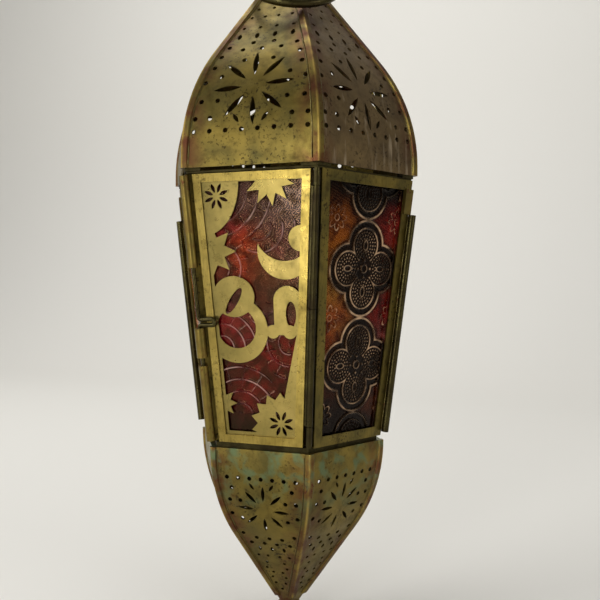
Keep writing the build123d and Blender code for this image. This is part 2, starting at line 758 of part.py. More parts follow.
def hinge_rod():
    """Straight rod of the hinge corner with its two peened heads."""
    plane = corner_plane(-HINGE_INSET)
    low = SLEEVE_END
    high = CORNER_LENGTH - SLEEVE_END
    rod = extrude(plane.offset(low) * Circle(HINGE_ROD_DIAMETER / 2), amount=high - low)
    for foot in (low - ROD_TAIL, high):
        rod = rod + extrude(plane.offset(foot) * Circle(HINGE_HEAD_DIAMETER / 2), amount=ROD_TAIL)
    return rod


def corner_rod():
    """Rod soldered on the outside of corner 1, from its foot to the clip."""
    plane = corner_plane(CORNER_ROD_DIAMETER / 2 + CORNER_ROD_SEAT)
    high = CORNER_LENGTH - CLIP_DROP - CLIP_LENGTH
    outline = Circle(CORNER_ROD_DIAMETER / 2)
    return extrude(plane.offset(CORNER_ROD_END) * outline, amount=high - CORNER_ROD_END)


def corner_clip():
    """Folded plate over the top of corner 1 that ties two mitred frames."""
    inner = -CLIP_SEAT
    outer = -CLIP_SEAT - CLIP_SHEET
    slant = -face_axes(1)[1][0]
    outline = Polygon(
        corner_place(-1, CLIP_WIDTH, inner),
        corner_place(-1, CLIP_WIDTH, outer),
        (-outer / slant, 0),
        corner_place(1, CLIP_WIDTH, outer),
        corner_place(1, CLIP_WIDTH, inner),
        (-inner / slant, 0),
        align=None,
    )
    start = CORNER_LENGTH - CLIP_DROP - CLIP_LENGTH
    return extrude(corner_plane(0).offset(start) * outline, amount=CLIP_LENGTH)


def latch_angle():
    """Angle by which the hairpin stands off the door so that it clears the stile's edge."""
    along, inward = face_axes(1)
    stand_off = -LATCH_OUTSET * inward[0]
    run = DOOR_EDGE[0] - LATCH_OUTSET * along[0]
    needed = LATCH_WIRE / 2 + LATCH_CLEARANCE - stand_off
    return max(atan2(needed, run), 0)


def latch_rod():
    """Wire in the latch corner's sleeves, with a hairpin bent out over the door's stile."""
    plane = corner_plane(LATCH_OUTSET)
    along, inward = face_axes(1)
    turn = latch_angle()
    reach = (
        along[0] * cos(turn) - inward[0] * sin(turn),
        along[1] * cos(turn) - inward[1] * sin(turn),
    )
    out = plane.x_dir * reach[0] + plane.y_dir * reach[1]
    sheet = Plane(origin=plane.origin, x_dir=out, z_dir=out.cross(plane.z_dir))
    middle = CORNER_LENGTH - LATCH_DROP
    upper = middle + LATCH_LEG_SPACING / 2
    lower = middle - LATCH_LEG_SPACING / 2
    far = LATCH_REACH - LATCH_WIRE / 2
    top = CORNER_LENGTH - SLEEVE_END
    points = [(0, SLEEVE_END), (0, lower), (far, lower), (far, upper), (0, upper), (0, top)]
    path = sheet * FilletPolyline(*points, radius=LATCH_BEND)
    section = Plane(origin=plane.offset(SLEEVE_END).origin, z_dir=plane.z_dir) * Circle(LATCH_WIRE / 2)
    return sweep(section, path=path)


def crown_cap():
    """Spun cap: skirt, flat brim on the dome's top edges, domed crown with a hole for the eye's shank."""
    slope = tan(DOME.turn) / cos(HALF)
    dome_corner = DOME_TOP_FLATS / 2 / cos(HALF) + CAP_SKIRT * slope
    skirt_in = dome_corner + SEAM_STRIP_SHEET / cos(HALF) / cos(DOME.turn) + CAP_SKIRT_CLEARANCE
    skirt_out = skirt_in + CAP_SHEET
    brim_top = DOME_TOP_Z + CAP_SHEET
    outer_mid = (
        CAP_TOP_RADIUS + CAP_CROWN_SWELL * (CAP_CROWN_RADIUS - CAP_TOP_RADIUS),
        brim_top + CAP_CROWN_SWELL * (CAP_TOP_Z - brim_top),
    )
    ceiling = CAP_TOP_Z - CAP_SHEET
    inner_mid = (outer_mid[0] - CAP_SHEET, outer_mid[1] - CAP_SHEET)
    shank = EYE_SHANK_DIAMETER / 2
    edges = [
        Line((shank, CAP_TOP_Z), (CAP_TOP_RADIUS, CAP_TOP_Z)),
        ThreePointArc((CAP_TOP_RADIUS, CAP_TOP_Z), outer_mid, (CAP_CROWN_RADIUS, brim_top)),
        Polyline(
            (CAP_CROWN_RADIUS, brim_top),
            (skirt_out - CAP_SHEET / 2, brim_top),
            (skirt_out, brim_top - CAP_SHEET / 2),
            (skirt_out, DOME_TOP_Z - CAP_SKIRT),
            (skirt_in, DOME_TOP_Z - CAP_SKIRT),
            (skirt_in, DOME_TOP_Z),
            (CAP_CROWN_RADIUS - CAP_SHEET, DOME_TOP_Z),
        ),
        ThreePointArc(
            (CAP_CROWN_RADIUS - CAP_SHEET, DOME_TOP_Z), inner_mid, (CAP_TOP_RADIUS - CAP_SHEET, ceiling)
        ),
        Polyline((CAP_TOP_RADIUS - CAP_SHEET, ceiling), (shank, ceiling), (shank, CAP_TOP_Z)),
    ]
    return revolve(Plane.XZ * make_face(edges), Axis.Z)


RING_AZIMUTH = (STEP / 2 - 90 - RING_TURN_FROM_HINGE) * pi / 180
RING_AXIS = (sin(RING_AZIMUTH), -cos(RING_AZIMUTH), 0)


def hanging_eye():
    """Flat eye on the crown cap, with a shank riveted over a washer inside."""
    plane = Plane(origin=(0, 0, 0), x_dir=(cos(RING_AZIMUTH), sin(RING_AZIMUTH), 0), z_dir=RING_AXIS)
    up = 1 if plane.y_dir.Z > 0 else -1
    outline = Circle(EYE_WIDTH / 2)
    outline = outline + Pos(0, -up * EYE_STAND / 2) * Rectangle(EYE_WIDTH, EYE_STAND)
    outline = outline - Circle(RING_WIRE / 2 + EYE_CLEARANCE)
    tab = extrude(plane.offset(-EYE_THICKNESS / 2) * outline, amount=EYE_THICKNESS)
    shank_end = CAP_TOP_Z - CAP_SHEET - EYE_WASHER_THICKNESS - EYE_RIVET_RISE
    shank = Pos(0, 0, shank_end) * extrude(Circle(EYE_SHANK_DIAMETER / 2), amount=CAP_TOP_Z - shank_end)
    head_radius = (EYE_SHANK_DIAMETER + EYE_WASHER_DIAMETER) / 4
    head = Pos(0, 0, shank_end) * extrude(Circle(head_radius), amount=EYE_RIVET_RISE)
    return tab + shank + head


def ring_rest_angle():
    """Angle below level at which the ring lies just off the seam strip over the hinge corner."""
    spread = cos(RING_TURN_FROM_HINGE * pi / 180)
    slope = tan(DOME.turn) / cos(HALF) * spread
    start = DOME_TOP_FLATS / 2 / cos(HALF) * spread + slope * DOME_TOP_Z
    strip = SEAM_STRIP_SHEET / cos(HALF) / cos(DOME.turn)
    gap = (RING_WIRE / 2 + RING_REST_CLEARANCE) * hypot(1, slope) + strip
    reach = 2 * RING_RADIUS
    return acos((start + gap) / (reach * hypot(1, slope))) - atan(slope)


def hanging_ring():
    """Wire ring through the eye, lying on the dome over the hinge corner."""
    rest = ring_rest_angle()
    away = (cos(RING_AZIMUTH) * cos(rest), sin(RING_AZIMUTH) * cos(rest), -sin(rest))
    centre = tuple(RING_RADIUS * part for part in away)
    plane = Plane(origin=centre, x_dir=away, z_dir=Vector(*away).cross(Vector(*RING_AXIS)))
    return plane * Torus(RING_RADIUS, RING_WIRE / 2)


def top_ring():
    """Flat hexagonal ring on the top rails."""
    outer = SIDE_TOP - TOP_RING_RECESS
    ring = hexagon(outer, SIDE_TOP_Z, TOP_RING_Z)
    return ring - hexagon(outer - TOP_RING_WIDTH, SIDE_TOP_Z - OVERCUT, TOP_RING_Z + OVERCUT)


def dome_bracket():
    """Block in corner 1 that carries the dome on the top ring."""
    corner = (EAVE_FLATS / 2 - SHEET - BRACKET_FIT) / cos(HALF)
    back = BRACKET_LEG * sin(HALF)
    wide = BRACKET_LEG * cos(HALF)
    outline = Polygon(
        (corner, 0), (corner - back, wide), (corner - 2 * back, 0), (corner - back, -wide), align=None
    )
    block = extrude(Pos(0, 0, TOP_RING_Z) * outline, amount=EAVE_Z + BRACKET_RISE - TOP_RING_Z)
    return Rot(0, 0, STEP / 2 - 90) * block


def floor_plate():
    """Shallow tray, turned down at its rim, that the sides and the cup stand on."""
    outer = SIDE_BOTTOM - FLOOR_RECESS
    tray = hexagon(outer, BOWL_TOP_Z, SIDE_BOTTOM_Z)
    return tray - hexagon(outer - FLOOR_SHEET, BOWL_TOP_Z - OVERCUT, SIDE_BOTTOM_Z - FLOOR_SHEET)


def tealight_cup():
    """Open cup on the floor plate."""
    outer = CUP_BORE / 2 + CUP_WALL
    cup = Pos(0, 0, SIDE_BOTTOM_Z) * extrude(Circle(outer), amount=CUP_HEIGHT)
    bore = Pos(0, 0, SIDE_BOTTOM_Z + CUP_WALL) * extrude(Circle(CUP_BORE / 2), amount=CUP_HEIGHT)
    return cup - bore


def tip_bead():
    """Turned bead that closes the point of the bowl: a cone with a ball under it."""
    neck = TIP_BALL_RADIUS * cos(pi / 4)
    cone_z = BOWL_END_Z - TIP_CONE_HEIGHT / 2
    cone = Pos(0, 0, cone_z) * Cone(neck, TIP_RADIUS, TIP_CONE_HEIGHT)
    return cone + Pos(0, 0, BOWL_END_Z - TIP_CONE_HEIGHT - neck) * Sphere(TIP_BALL_RADIUS)


def save(name, shape):
    """One file for each named node."""
    shape.label = name
    export_step(shape, f"parts/{name}.step")


def group(shapes):
    """Like pieces in one node, each still a solid of its own."""
    return Compound([solid for shape in shapes for solid in shape.solids()])


def main():
    os.makedirs("parts", exist_ok=True)
    corners = range(SIDES)
    plain_corners = [corner for corner in corners if corner not in (DOOR_HINGE_CORNER, DOOR_LATCH_CORNER)]
    pin_bore = HINGE_ROD_DIAMETER + 2 * ROD_FIT
    wire_bore = LATCH_WIRE + 2 * ROD_FIT

    dome = dome_panel()
    bowl = bowl_panel()
    for side in range(SIDES):
        save(f"dome_panel_{side + 1}", turned(dome, side))
        save(f"bowl_panel_{side + 1}", turned(bowl, side))
    dome_strip = seam_strip(DOME, DOME_STRIP_HALF_WIDTH, EAVE_Z, DOME_TOP_Z)
    bowl_strip = seam_strip(BOWL, BOWL_STRIP_HALF_WIDTH, BOWL_END_Z + BOWL_STRIP_STOP, BOWL_TOP_Z)
    save("dome_seam_strips", group(turned(dome_strip, corner) for corner in corners))
    save("bowl_seam_strips", group(turned(bowl_strip, corner) for corner in corners))
    save("tip_bead", tip_bead())

    save("crown_cap", crown_cap())
    save("hanging_eye", hanging_eye())
    washer = Circle(EYE_WASHER_DIAMETER / 2) - Circle(EYE_SHANK_DIAMETER / 2)
    washer_z = CAP_TOP_Z - CAP_SHEET - EYE_WASHER_THICKNESS
    save("eye_washer", Pos(0, 0, washer_z) * extrude(washer, amount=EYE_WASHER_THICKNESS))
    save("hanging_ring", hanging_ring())
    save("top_ring", top_ring())
    bracket = dome_bracket()
    save("dome_corner_brackets", group(turned(bracket, corner) for corner in corners))
    save("floor_plate", floor_plate())
    save("tealight_cup", tealight_cup())

    glass_front = CHANNEL_SHEET + (CHANNEL_SLOT - GLASS_THICKNESS) / 2
    share = mitre_wedge(SIDE_BOTTOM_Z, SIDE_TOP_Z)
    for side in range(1, SIDES):
        left = SQUARE_EDGE if side == 1 else MITRED_EDGE
        right = SQUARE_EDGE if side == SIDES - 1 else MITRED_EDGE
        pieces = frame_pieces(left, right, SIDE_BOTTOM_Z, SIDE_TOP_Z, STRIP_WIDTH)
        top_rail, bottom_rail, stiles, bottom, top = pieces
        glass = pressed_pane(left, right, bottom, top, glass_front)
        save(f"side_{side + 1}_top_rail", turned(top_rail & share, side))
        save(f"side_{side + 1}_bottom_rail", turned(bottom_rail & share, side))
        save(f"side_{side + 1}_stiles", group(turned(stile & share, side) for stile in stiles))
        save(f"side_{side + 1}_glass", turned(glass, side))

    low_z = SIDE_BOTTOM_Z + DOOR_CLEARANCE
    high_z = SIDE_TOP_Z - DOOR_CLEARANCE
    pieces = frame_pieces(DOOR_EDGE, DOOR_EDGE, low_z, high_z, DOOR_STRIP_WIDTH)
    top_rail, bottom_rail, stiles, bottom, top = pieces
    play = (CHANNEL_SLOT - DOOR_GLASS_THICKNESS - FRET_SHEET) / 2
    fret_front = CHANNEL_SHEET + play
    glass_front = fret_front + FRET_SHEET
    save("door_top_rail", top_rail)
    save("door_bottom_rail", bottom_rail)
    save("door_stiles", group(stiles))
    save("door_fretwork", fretwork(DOOR_EDGE[0], bottom, top, fret_front))
    outline = pane_outline(DOOR_EDGE, DOOR_EDGE, bottom, top, 0)
    save("door_glass", plate(outline, glass_front, glass_front + DOOR_GLASS_THICKNESS))

    rod = corner_rod()
    clip = corner_clip()
    save("corner_rods", group(turned(rod, corner) for corner in plain_corners))
    save("upper_corner_clips", group(turned(clip, corner) for corner in plain_corners))

    high = CORNER_LENGTH - SLEEVE_END
    hinge_low = SLEEVE_END + HINGE_LOWER_SLEEVE
    hinge_high = high - HINGE_UPPER_SLEEVE
    knuckle = (hinge_high - hinge_low - 3 * KNUCKLE_GAP) / 2
    hinge = (-HINGE_INSET, HINGE_TUBE_DIAMETER, pin_bore)
    fixed = [
        tube(SLEEVE_END, HINGE_LOWER_SLEEVE, *hinge, 1, CORNER_SETBACK, HINGE_LUG_DEPTH),
        tube(hinge_high, HINGE_UPPER_SLEEVE, *hinge, 1, CORNER_SETBACK, HINGE_LUG_DEPTH),
    ]
    knuckles = [
        tube(foot, knuckle, *hinge, -1, DOOR_EDGE[0], HINGE_LUG_DEPTH)
        for foot in (hinge_low + KNUCKLE_GAP, hinge_low + 2 * KNUCKLE_GAP + knuckle)
    ]
    save("hinge_rod", turned(hinge_rod(), DOOR_HINGE_CORNER))
    save("hinge_sleeves", group(turned(piece, DOOR_HINGE_CORNER) for piece in fixed))
    save("door_knuckles", group(turned(piece, DOOR_HINGE_CORNER) for piece in knuckles))

    hairpin_low = CORNER_LENGTH - LATCH_DROP - (LATCH_LEG_SPACING + LATCH_WIRE) / 2
    hairpin_high = hairpin_low + LATCH_LEG_SPACING + LATCH_WIRE
    keeper_low = hairpin_low - LATCH_CLEARANCE - KEEPER_LENGTH
    latch_upper = hairpin_high + LATCH_BARE_ROD
    low_length = keeper_low - KEEPER_STEP - SLEEVE_END
    side_six = (-1, CORNER_SETBACK, LATCH_LUG_DEPTH)
    tubes = [
        tube(latch_upper, high - latch_upper, LATCH_OUTSET, LATCH_TUBE_DIAMETER, wire_bore, *side_six),
        tube(SLEEVE_END, low_length, LATCH_OUTSET, LATCH_TUBE_DIAMETER, wire_bore, *side_six),
    ]
    keeper = tube(keeper_low, KEEPER_LENGTH, LATCH_OUTSET, KEEPER_DIAMETER, wire_bore, *side_six)
    save("latch_sleeves", group(turned(piece, DOOR_LATCH_CORNER) for piece in tubes))
    save("latch_keeper", turned(keeper, DOOR_LATCH_CORNER))
    save("latch_rod", turned(latch_rod(), DOOR_LATCH_CORNER))

    hinge = corner_plane(-HINGE_INSET)
    latch = Rot(0, 0, STEP * DOOR_LATCH_CORNER) * corner_plane(LATCH_OUTSET).location
    rest = degrees(ring_rest_angle())
    print("hinge rod foot", hinge.origin, "direction", hinge.z_dir)
    print("latch rod foot", latch.position, "direction", Plane(latch).z_dir)
    print("ring axis", RING_AXIS, "rest angle below level", rest, "full swing", 180 + 2 * rest)
    print("heights: eave", EAVE_Z, "side", SIDE_TOP_Z, SIDE_BOTTOM_Z, "bowl", BOWL_TOP_Z, BOWL_END_Z)


main()
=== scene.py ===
import json
import random
from math import atan2, cos, degrees, exp, hypot, pi, radians, sin, tan

import bpy
from mathutils import Euler, Matrix, Vector


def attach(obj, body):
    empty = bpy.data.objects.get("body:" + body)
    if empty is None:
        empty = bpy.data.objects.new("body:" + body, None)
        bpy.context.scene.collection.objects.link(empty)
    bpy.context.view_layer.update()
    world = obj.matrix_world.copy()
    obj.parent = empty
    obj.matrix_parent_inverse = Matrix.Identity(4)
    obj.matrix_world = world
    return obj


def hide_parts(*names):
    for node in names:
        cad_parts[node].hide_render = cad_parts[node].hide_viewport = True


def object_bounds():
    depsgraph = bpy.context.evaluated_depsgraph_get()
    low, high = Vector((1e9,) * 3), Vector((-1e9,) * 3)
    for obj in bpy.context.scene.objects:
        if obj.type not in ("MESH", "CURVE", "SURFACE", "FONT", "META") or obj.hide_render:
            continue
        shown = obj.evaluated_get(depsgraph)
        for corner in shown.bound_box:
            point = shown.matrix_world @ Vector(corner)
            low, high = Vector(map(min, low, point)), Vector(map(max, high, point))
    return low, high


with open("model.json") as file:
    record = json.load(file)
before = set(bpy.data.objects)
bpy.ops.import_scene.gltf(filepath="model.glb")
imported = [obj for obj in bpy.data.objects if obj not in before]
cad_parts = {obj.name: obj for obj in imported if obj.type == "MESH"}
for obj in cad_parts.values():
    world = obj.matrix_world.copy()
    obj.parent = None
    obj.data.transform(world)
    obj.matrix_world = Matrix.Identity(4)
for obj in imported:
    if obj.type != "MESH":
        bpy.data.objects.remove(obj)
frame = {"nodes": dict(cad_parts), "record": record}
CAD_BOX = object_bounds()

bl_info = {
    "name": "Pierced brass candle lantern",
    "version": (1, 0, 0),
    "blender": (4, 5, 0),
    "location": "View3D > Sidebar > Lantern",
    "description": "Finishes a six-sided hanging candle lantern of aged brass and pressed glass",
    "category": "Add Mesh",
}

MM = 0.001
SIDES = 6
STEP = 2 * pi / SIDES
HALF = pi / SIDES
PLAIN_CORNERS = (0, 1, 2, 3)

# The lantern's own levels and sections, as the solids have them. Millimetres
EAVE_APOTHEM = 50.4
EAVE_Z = -98.3
SIDE_TOP = (49.4, EAVE_Z - 2.0)
SIDE_BOTTOM = (37.4, EAVE_Z - 115.0)
BOWL_Z = EAVE_Z - 117.0
FACE_LEAN = atan2(SIDE_TOP[0] - SIDE_BOTTOM[0], SIDE_TOP[1] - SIDE_BOTTOM[1])
DOME_SHOULDER = 29.3
DOME_BEND = 82.0
DOME_END_APOTHEM = 11.0
DOME_HEIGHT = 86.9
BOWL_APOTHEM = 37.8
BOWL_SHOULDER = 21.7
BOWL_BEND = 76.0
BOWL_END_APOTHEM = 3.5
BOWL_DEPTH = 79.0


def linear(code):
    """Linear colour of an sRGB hex code."""
    channels = [int(code[place:place + 2], 16) / 255 for place in (1, 3, 5)]
    return tuple(c / 12.92 if c <= 0.04045 else ((c + 0.055) / 1.055) ** 2.4 for c in channels) + (1.0,)


def colour_property(label, words, code):
    """A colour that a user may change, from its hex code."""
    return bpy.props.FloatVectorProperty(
        name=label, description=words, subtype="COLOR", size=4, min=0, max=1, default=linear(code)
    )


def length_property(label, words, millimetres):
    """A length that a user may change, from its millimetres."""
    return bpy.props.FloatProperty(name=label, description=words, unit="LENGTH", default=millimetres * MM)


class LanternSizes(bpy.types.PropertyGroup):
    """Sizes of the dressed details."""

    relief_depth: length_property("Relief depth", "How far the ground of a pane is pressed in", 0.8)
    relief_cell: length_property("Relief cell", "Spacing of the points on a pressed pane", 0.34)
    pane_rim: length_property("Pane rim", "Flat edge of a pane inside its channels", 3.0)
    motif_pitch: length_property("Motif pitch", "Spacing of the pressed quatrefoils", 41.1)
    shade_reach: length_property("Shade reach", "How far painted shade reaches in from the foot and head of a pane", 18)
    seam_bead: length_property("Seam bead", "Mean radius of the solder along a seam strip", 0.32)
    lens: bpy.props.FloatProperty(name="Lens", description="Focal length on a 36 mm frame", default=43.39)


class LanternColours(bpy.types.PropertyGroup):
    """Colours of the finishes."""

    gold: colour_property("Gold", "Rubbed brass", "#8A7636")
    olive: colour_property("Olive", "Brass under a thin tarnish", "#4E4826")
    bright: colour_property("Bright", "Brass channel that hands keep bright", "#BEA656")
    satin: colour_property("Satin", "Cut brass of the fretwork", "#AC9654")
    satin_shade: colour_property("Satin shade", "Cut brass under a thin tarnish", "#88783E")
    crest: colour_property("Crest", "Painted highlight on the crest of a seam strip", "#AC9148")
    # Tan and umber are a paler, greyer copy of gold and olive for one dome panel: painted grey reflection
    tan: colour_property("Tan", "Dome sheet with painted grey reflection", "#86704A")
    umber: colour_property("Umber", "Dome sheet with painted grey reflection, under tarnish", "#5C4C36")
    dried: colour_property("Dried runs", "Runs that dried on the browned sheet", "#A8967A")
    brown: colour_property("Brown", "Thick tarnish and spots", "#281F12")
    copper: colour_property("Copper", "Brass reddened by the torch", "#583020")
    verdigris: colour_property("Verdigris", "Green crust on the bowl's shoulder", "#5E7050")
    solder: colour_property("Solder", "Tin solder, dulled", "#7E7044")
    bead: colour_property("Bead", "Painted highlight on the worn ridges of the side panes", "#E4BC94")
    vein_highlight: colour_property("Vein", "Painted highlight on the worn veins of the door pane", "#CCA498")
    thick: colour_property("Thick stain", "Tint of a glass stain where it lies thick", "#6A3A28")
    dull: colour_property("Dim reflection tint", "Painted dim reflection of a pane", "#7A5A3C")
    reflection_tint: colour_property("Bright reflection tint", "Painted bright reflection of the door pane", "#E8C090")
    floor: colour_property("Floor", "Pale studio sweep", "#E6E4DE")
    air: colour_property("Air", "Soft light from all round", "#E8E6E2")


def add(tree, kind, settings, inputs):
    """Adds a node, sets it up, and links or fills its inputs."""
    made = tree.nodes.new(kind)
    for name, value in settings.items():
        setattr(made, name, value)
    for name, value in inputs.items():
        if isinstance(value, bpy.types.NodeSocket):
            tree.links.new(value, made.inputs[name])
        else:
            made.inputs[name].default_value = value
    return made


def per(millimetres):
    """How often a pattern of this size comes in a metre."""
    return 1 / (millimetres * MM)


def drawn_marks(tree, place, colour, dark, share):
    """Drawing and rubbing marks that run up a strip, about 0.7 mm apart."""
    long_way = add(tree, "ShaderNodeMapping", {}, {"Vector": place, "Scale": (1, 1, 0.06)})
    marks = add(
        tree, "ShaderNodeTexNoise", {},
        {"Vector": long_way.outputs["Vector"], "Scale": per(0.667), "Detail": 3},
    )
    marked = add(
        tree, "ShaderNodeMapRange", {},
        {"Value": marks.outputs["Fac"], "From Min": 0.5, "From Max": 0.75, "To Max": share},
    )
    return add(
        tree, "ShaderNodeMix", {"data_type": "RGBA"}, {0: marked.outputs["Result"], 6: colour, 7: dark}
    ).outputs[2]


def shade_toward_latch(tree, split, colour, dark, share):
    """Painted shade: brass darkened toward the latch side, over about 30 mm."""
    toward = add(
        tree, "ShaderNodeMapRange", {},
        {"Value": split.outputs["X"], "From Min": 8 * MM, "From Max": -24 * MM, "To Max": share},
    )
    return add(
        tree, "ShaderNodeMix", {"data_type": "RGBA"}, {0: toward.outputs["Result"], 6: colour, 7: dark}
    ).outputs[2]


def dried_runs(tree, place, split, colour, pale):
    """Pale runs about 3 mm apart that dried on the lowest 35 mm of the dome."""
    down = add(tree, "ShaderNodeMapping", {}, {"Vector": place, "Scale": (1, 1, 0.1)})
    runs = add(
        tree, "ShaderNodeTexNoise", {}, {"Vector": down.outputs["Vector"], "Scale": per(3.03), "Detail": 3}
    )
    dried = add(
        tree, "ShaderNodeMapRange", {},
        {"Value": runs.outputs["Fac"], "From Min": 0.55, "From Max": 0.66, "To Max": 0.8},
    )
    low = add(
        tree, "ShaderNodeMapRange", {},
        {"Value": split.outputs["Z"], "From Min": (EAVE_Z + 35) * MM, "From Max": (EAVE_Z + 20) * MM},
    )
    wet = add(
        tree, "ShaderNodeMath", {"operation": "MULTIPLY"},
        {0: dried.outputs["Result"], 1: low.outputs["Result"]},
    )
    return add(
        tree, "ShaderNodeMix", {"data_type": "RGBA"}, {0: wet.outputs[0], 6: colour, 7: pale}
    ).outputs[2]


def torch_marks(tree, place, split, colour, red, highlight_colour):
    """Brass that the torch reddened within about 9 mm of each corner, and a painted highlight along a seam
    strip's crest when a highlight colour is given.
    """
    angle = add(
        tree, "ShaderNodeMath", {"operation": "ARCTAN2"}, {0: split.outputs["Y"], 1: split.outputs["X"]}
    )
    apart = add(tree, "ShaderNodeMath", {"operation": "PINGPONG"}, {0: angle.outputs[0], 1: HALF})
    level = add(tree, "ShaderNodeVectorMath", {"operation": "MULTIPLY"}, {0: place, 1: (1, 1, 0)})
    out = add(tree, "ShaderNodeVectorMath", {"operation": "LENGTH"}, {0: level.outputs[0]})
    run = add(
        tree, "ShaderNodeMath", {"operation": "MULTIPLY"}, {0: apart.outputs[0], 1: out.outputs["Value"]}
    )
    near = add(
        tree, "ShaderNodeMapRange", {},
        {"Value": run.outputs[0], "From Min": 1.5 * MM, "From Max": 9.5 * MM, "To Min": 1.0, "To Max": 0.0},
    )
    patch = add(tree, "ShaderNodeTexNoise", {}, {"Vector": place, "Scale": per(9.09), "Detail": 6})
    patchy = add(
        tree, "ShaderNodeMapRange", {},
        {"Value": patch.outputs["Fac"], "From Min": 0.4, "From Max": 0.62, "To Max": 0.85},
    )
    burnt = add(
        tree, "ShaderNodeMath", {"operation": "MULTIPLY"},
        {0: near.outputs["Result"], 1: patchy.outputs["Result"]},
    )
    colour = add(
        tree, "ShaderNodeMix", {"data_type": "RGBA"}, {0: burnt.outputs[0], 6: colour, 7: red}
    ).outputs[2]
    if not highlight_colour:
        return colour
    # Painted highlight along the crest of a strip, less than 1 mm wide, where handling has also rubbed it
    # bright
    crest = add(
        tree, "ShaderNodeMapRange", {},
        {"Value": run.outputs[0], "From Min": 0.2 * MM, "From Max": 0.8 * MM, "To Min": 1.0, "To Max": 0.0},
    )
    kept = add(
        tree, "ShaderNodeMapRange", {},
        {"Value": patch.outputs["Fac"], "From Min": 0.4, "From Max": 0.62, "To Min": 0.8, "To Max": 0.05},
    )
    bright = add(
        tree, "ShaderNodeMath", {"operation": "MULTIPLY"},
        {0: crest.outputs["Result"], 1: kept.outputs["Result"]},
    )
    return add(
        tree, "ShaderNodeMix", {"data_type": "RGBA"}, {0: bright.outputs[0], 6: colour, 7: highlight_colour}
    ).outputs[2]


def green_crust(tree, place, split, colour, green):
    """Verdigris in patches on the top 30 mm of the bowl."""
    under = add(
        tree, "ShaderNodeMapRange", {},
        {"Value": split.outputs["Z"], "From Min": (BOWL_Z - 34) * MM, "From Max": (BOWL_Z - 8) * MM},
    )
    below = add(
        tree, "ShaderNodeMath", {"operation": "LESS_THAN"}, {0: split.outputs["Z"], 1: (BOWL_Z + 4) * MM}
    )
    crumbs = add(
        tree, "ShaderNodeTexNoise", {}, {"Vector": place, "Scale": per(7.14), "Detail": 9, "Distortion": 0.5}
    )
    crumbly = add(
        tree, "ShaderNodeMapRange", {},
        {"Value": crumbs.outputs["Fac"], "From Min": 0.5, "From Max": 0.64, "To Max": 0.8},
    )
    band = add(
        tree, "ShaderNodeMath", {"operation": "MULTIPLY"}, {0: under.outputs["Result"], 1: below.outputs[0]}
    )
    share = add(
        tree, "ShaderNodeMath", {"operation": "MULTIPLY"}, {0: band.outputs[0], 1: crumbly.outputs["Result"]}
    )
    return add(
        tree, "ShaderNodeMix", {"data_type": "RGBA"}, {0: share.outputs[0], 6: colour, 7: green}
    ).outputs[2]


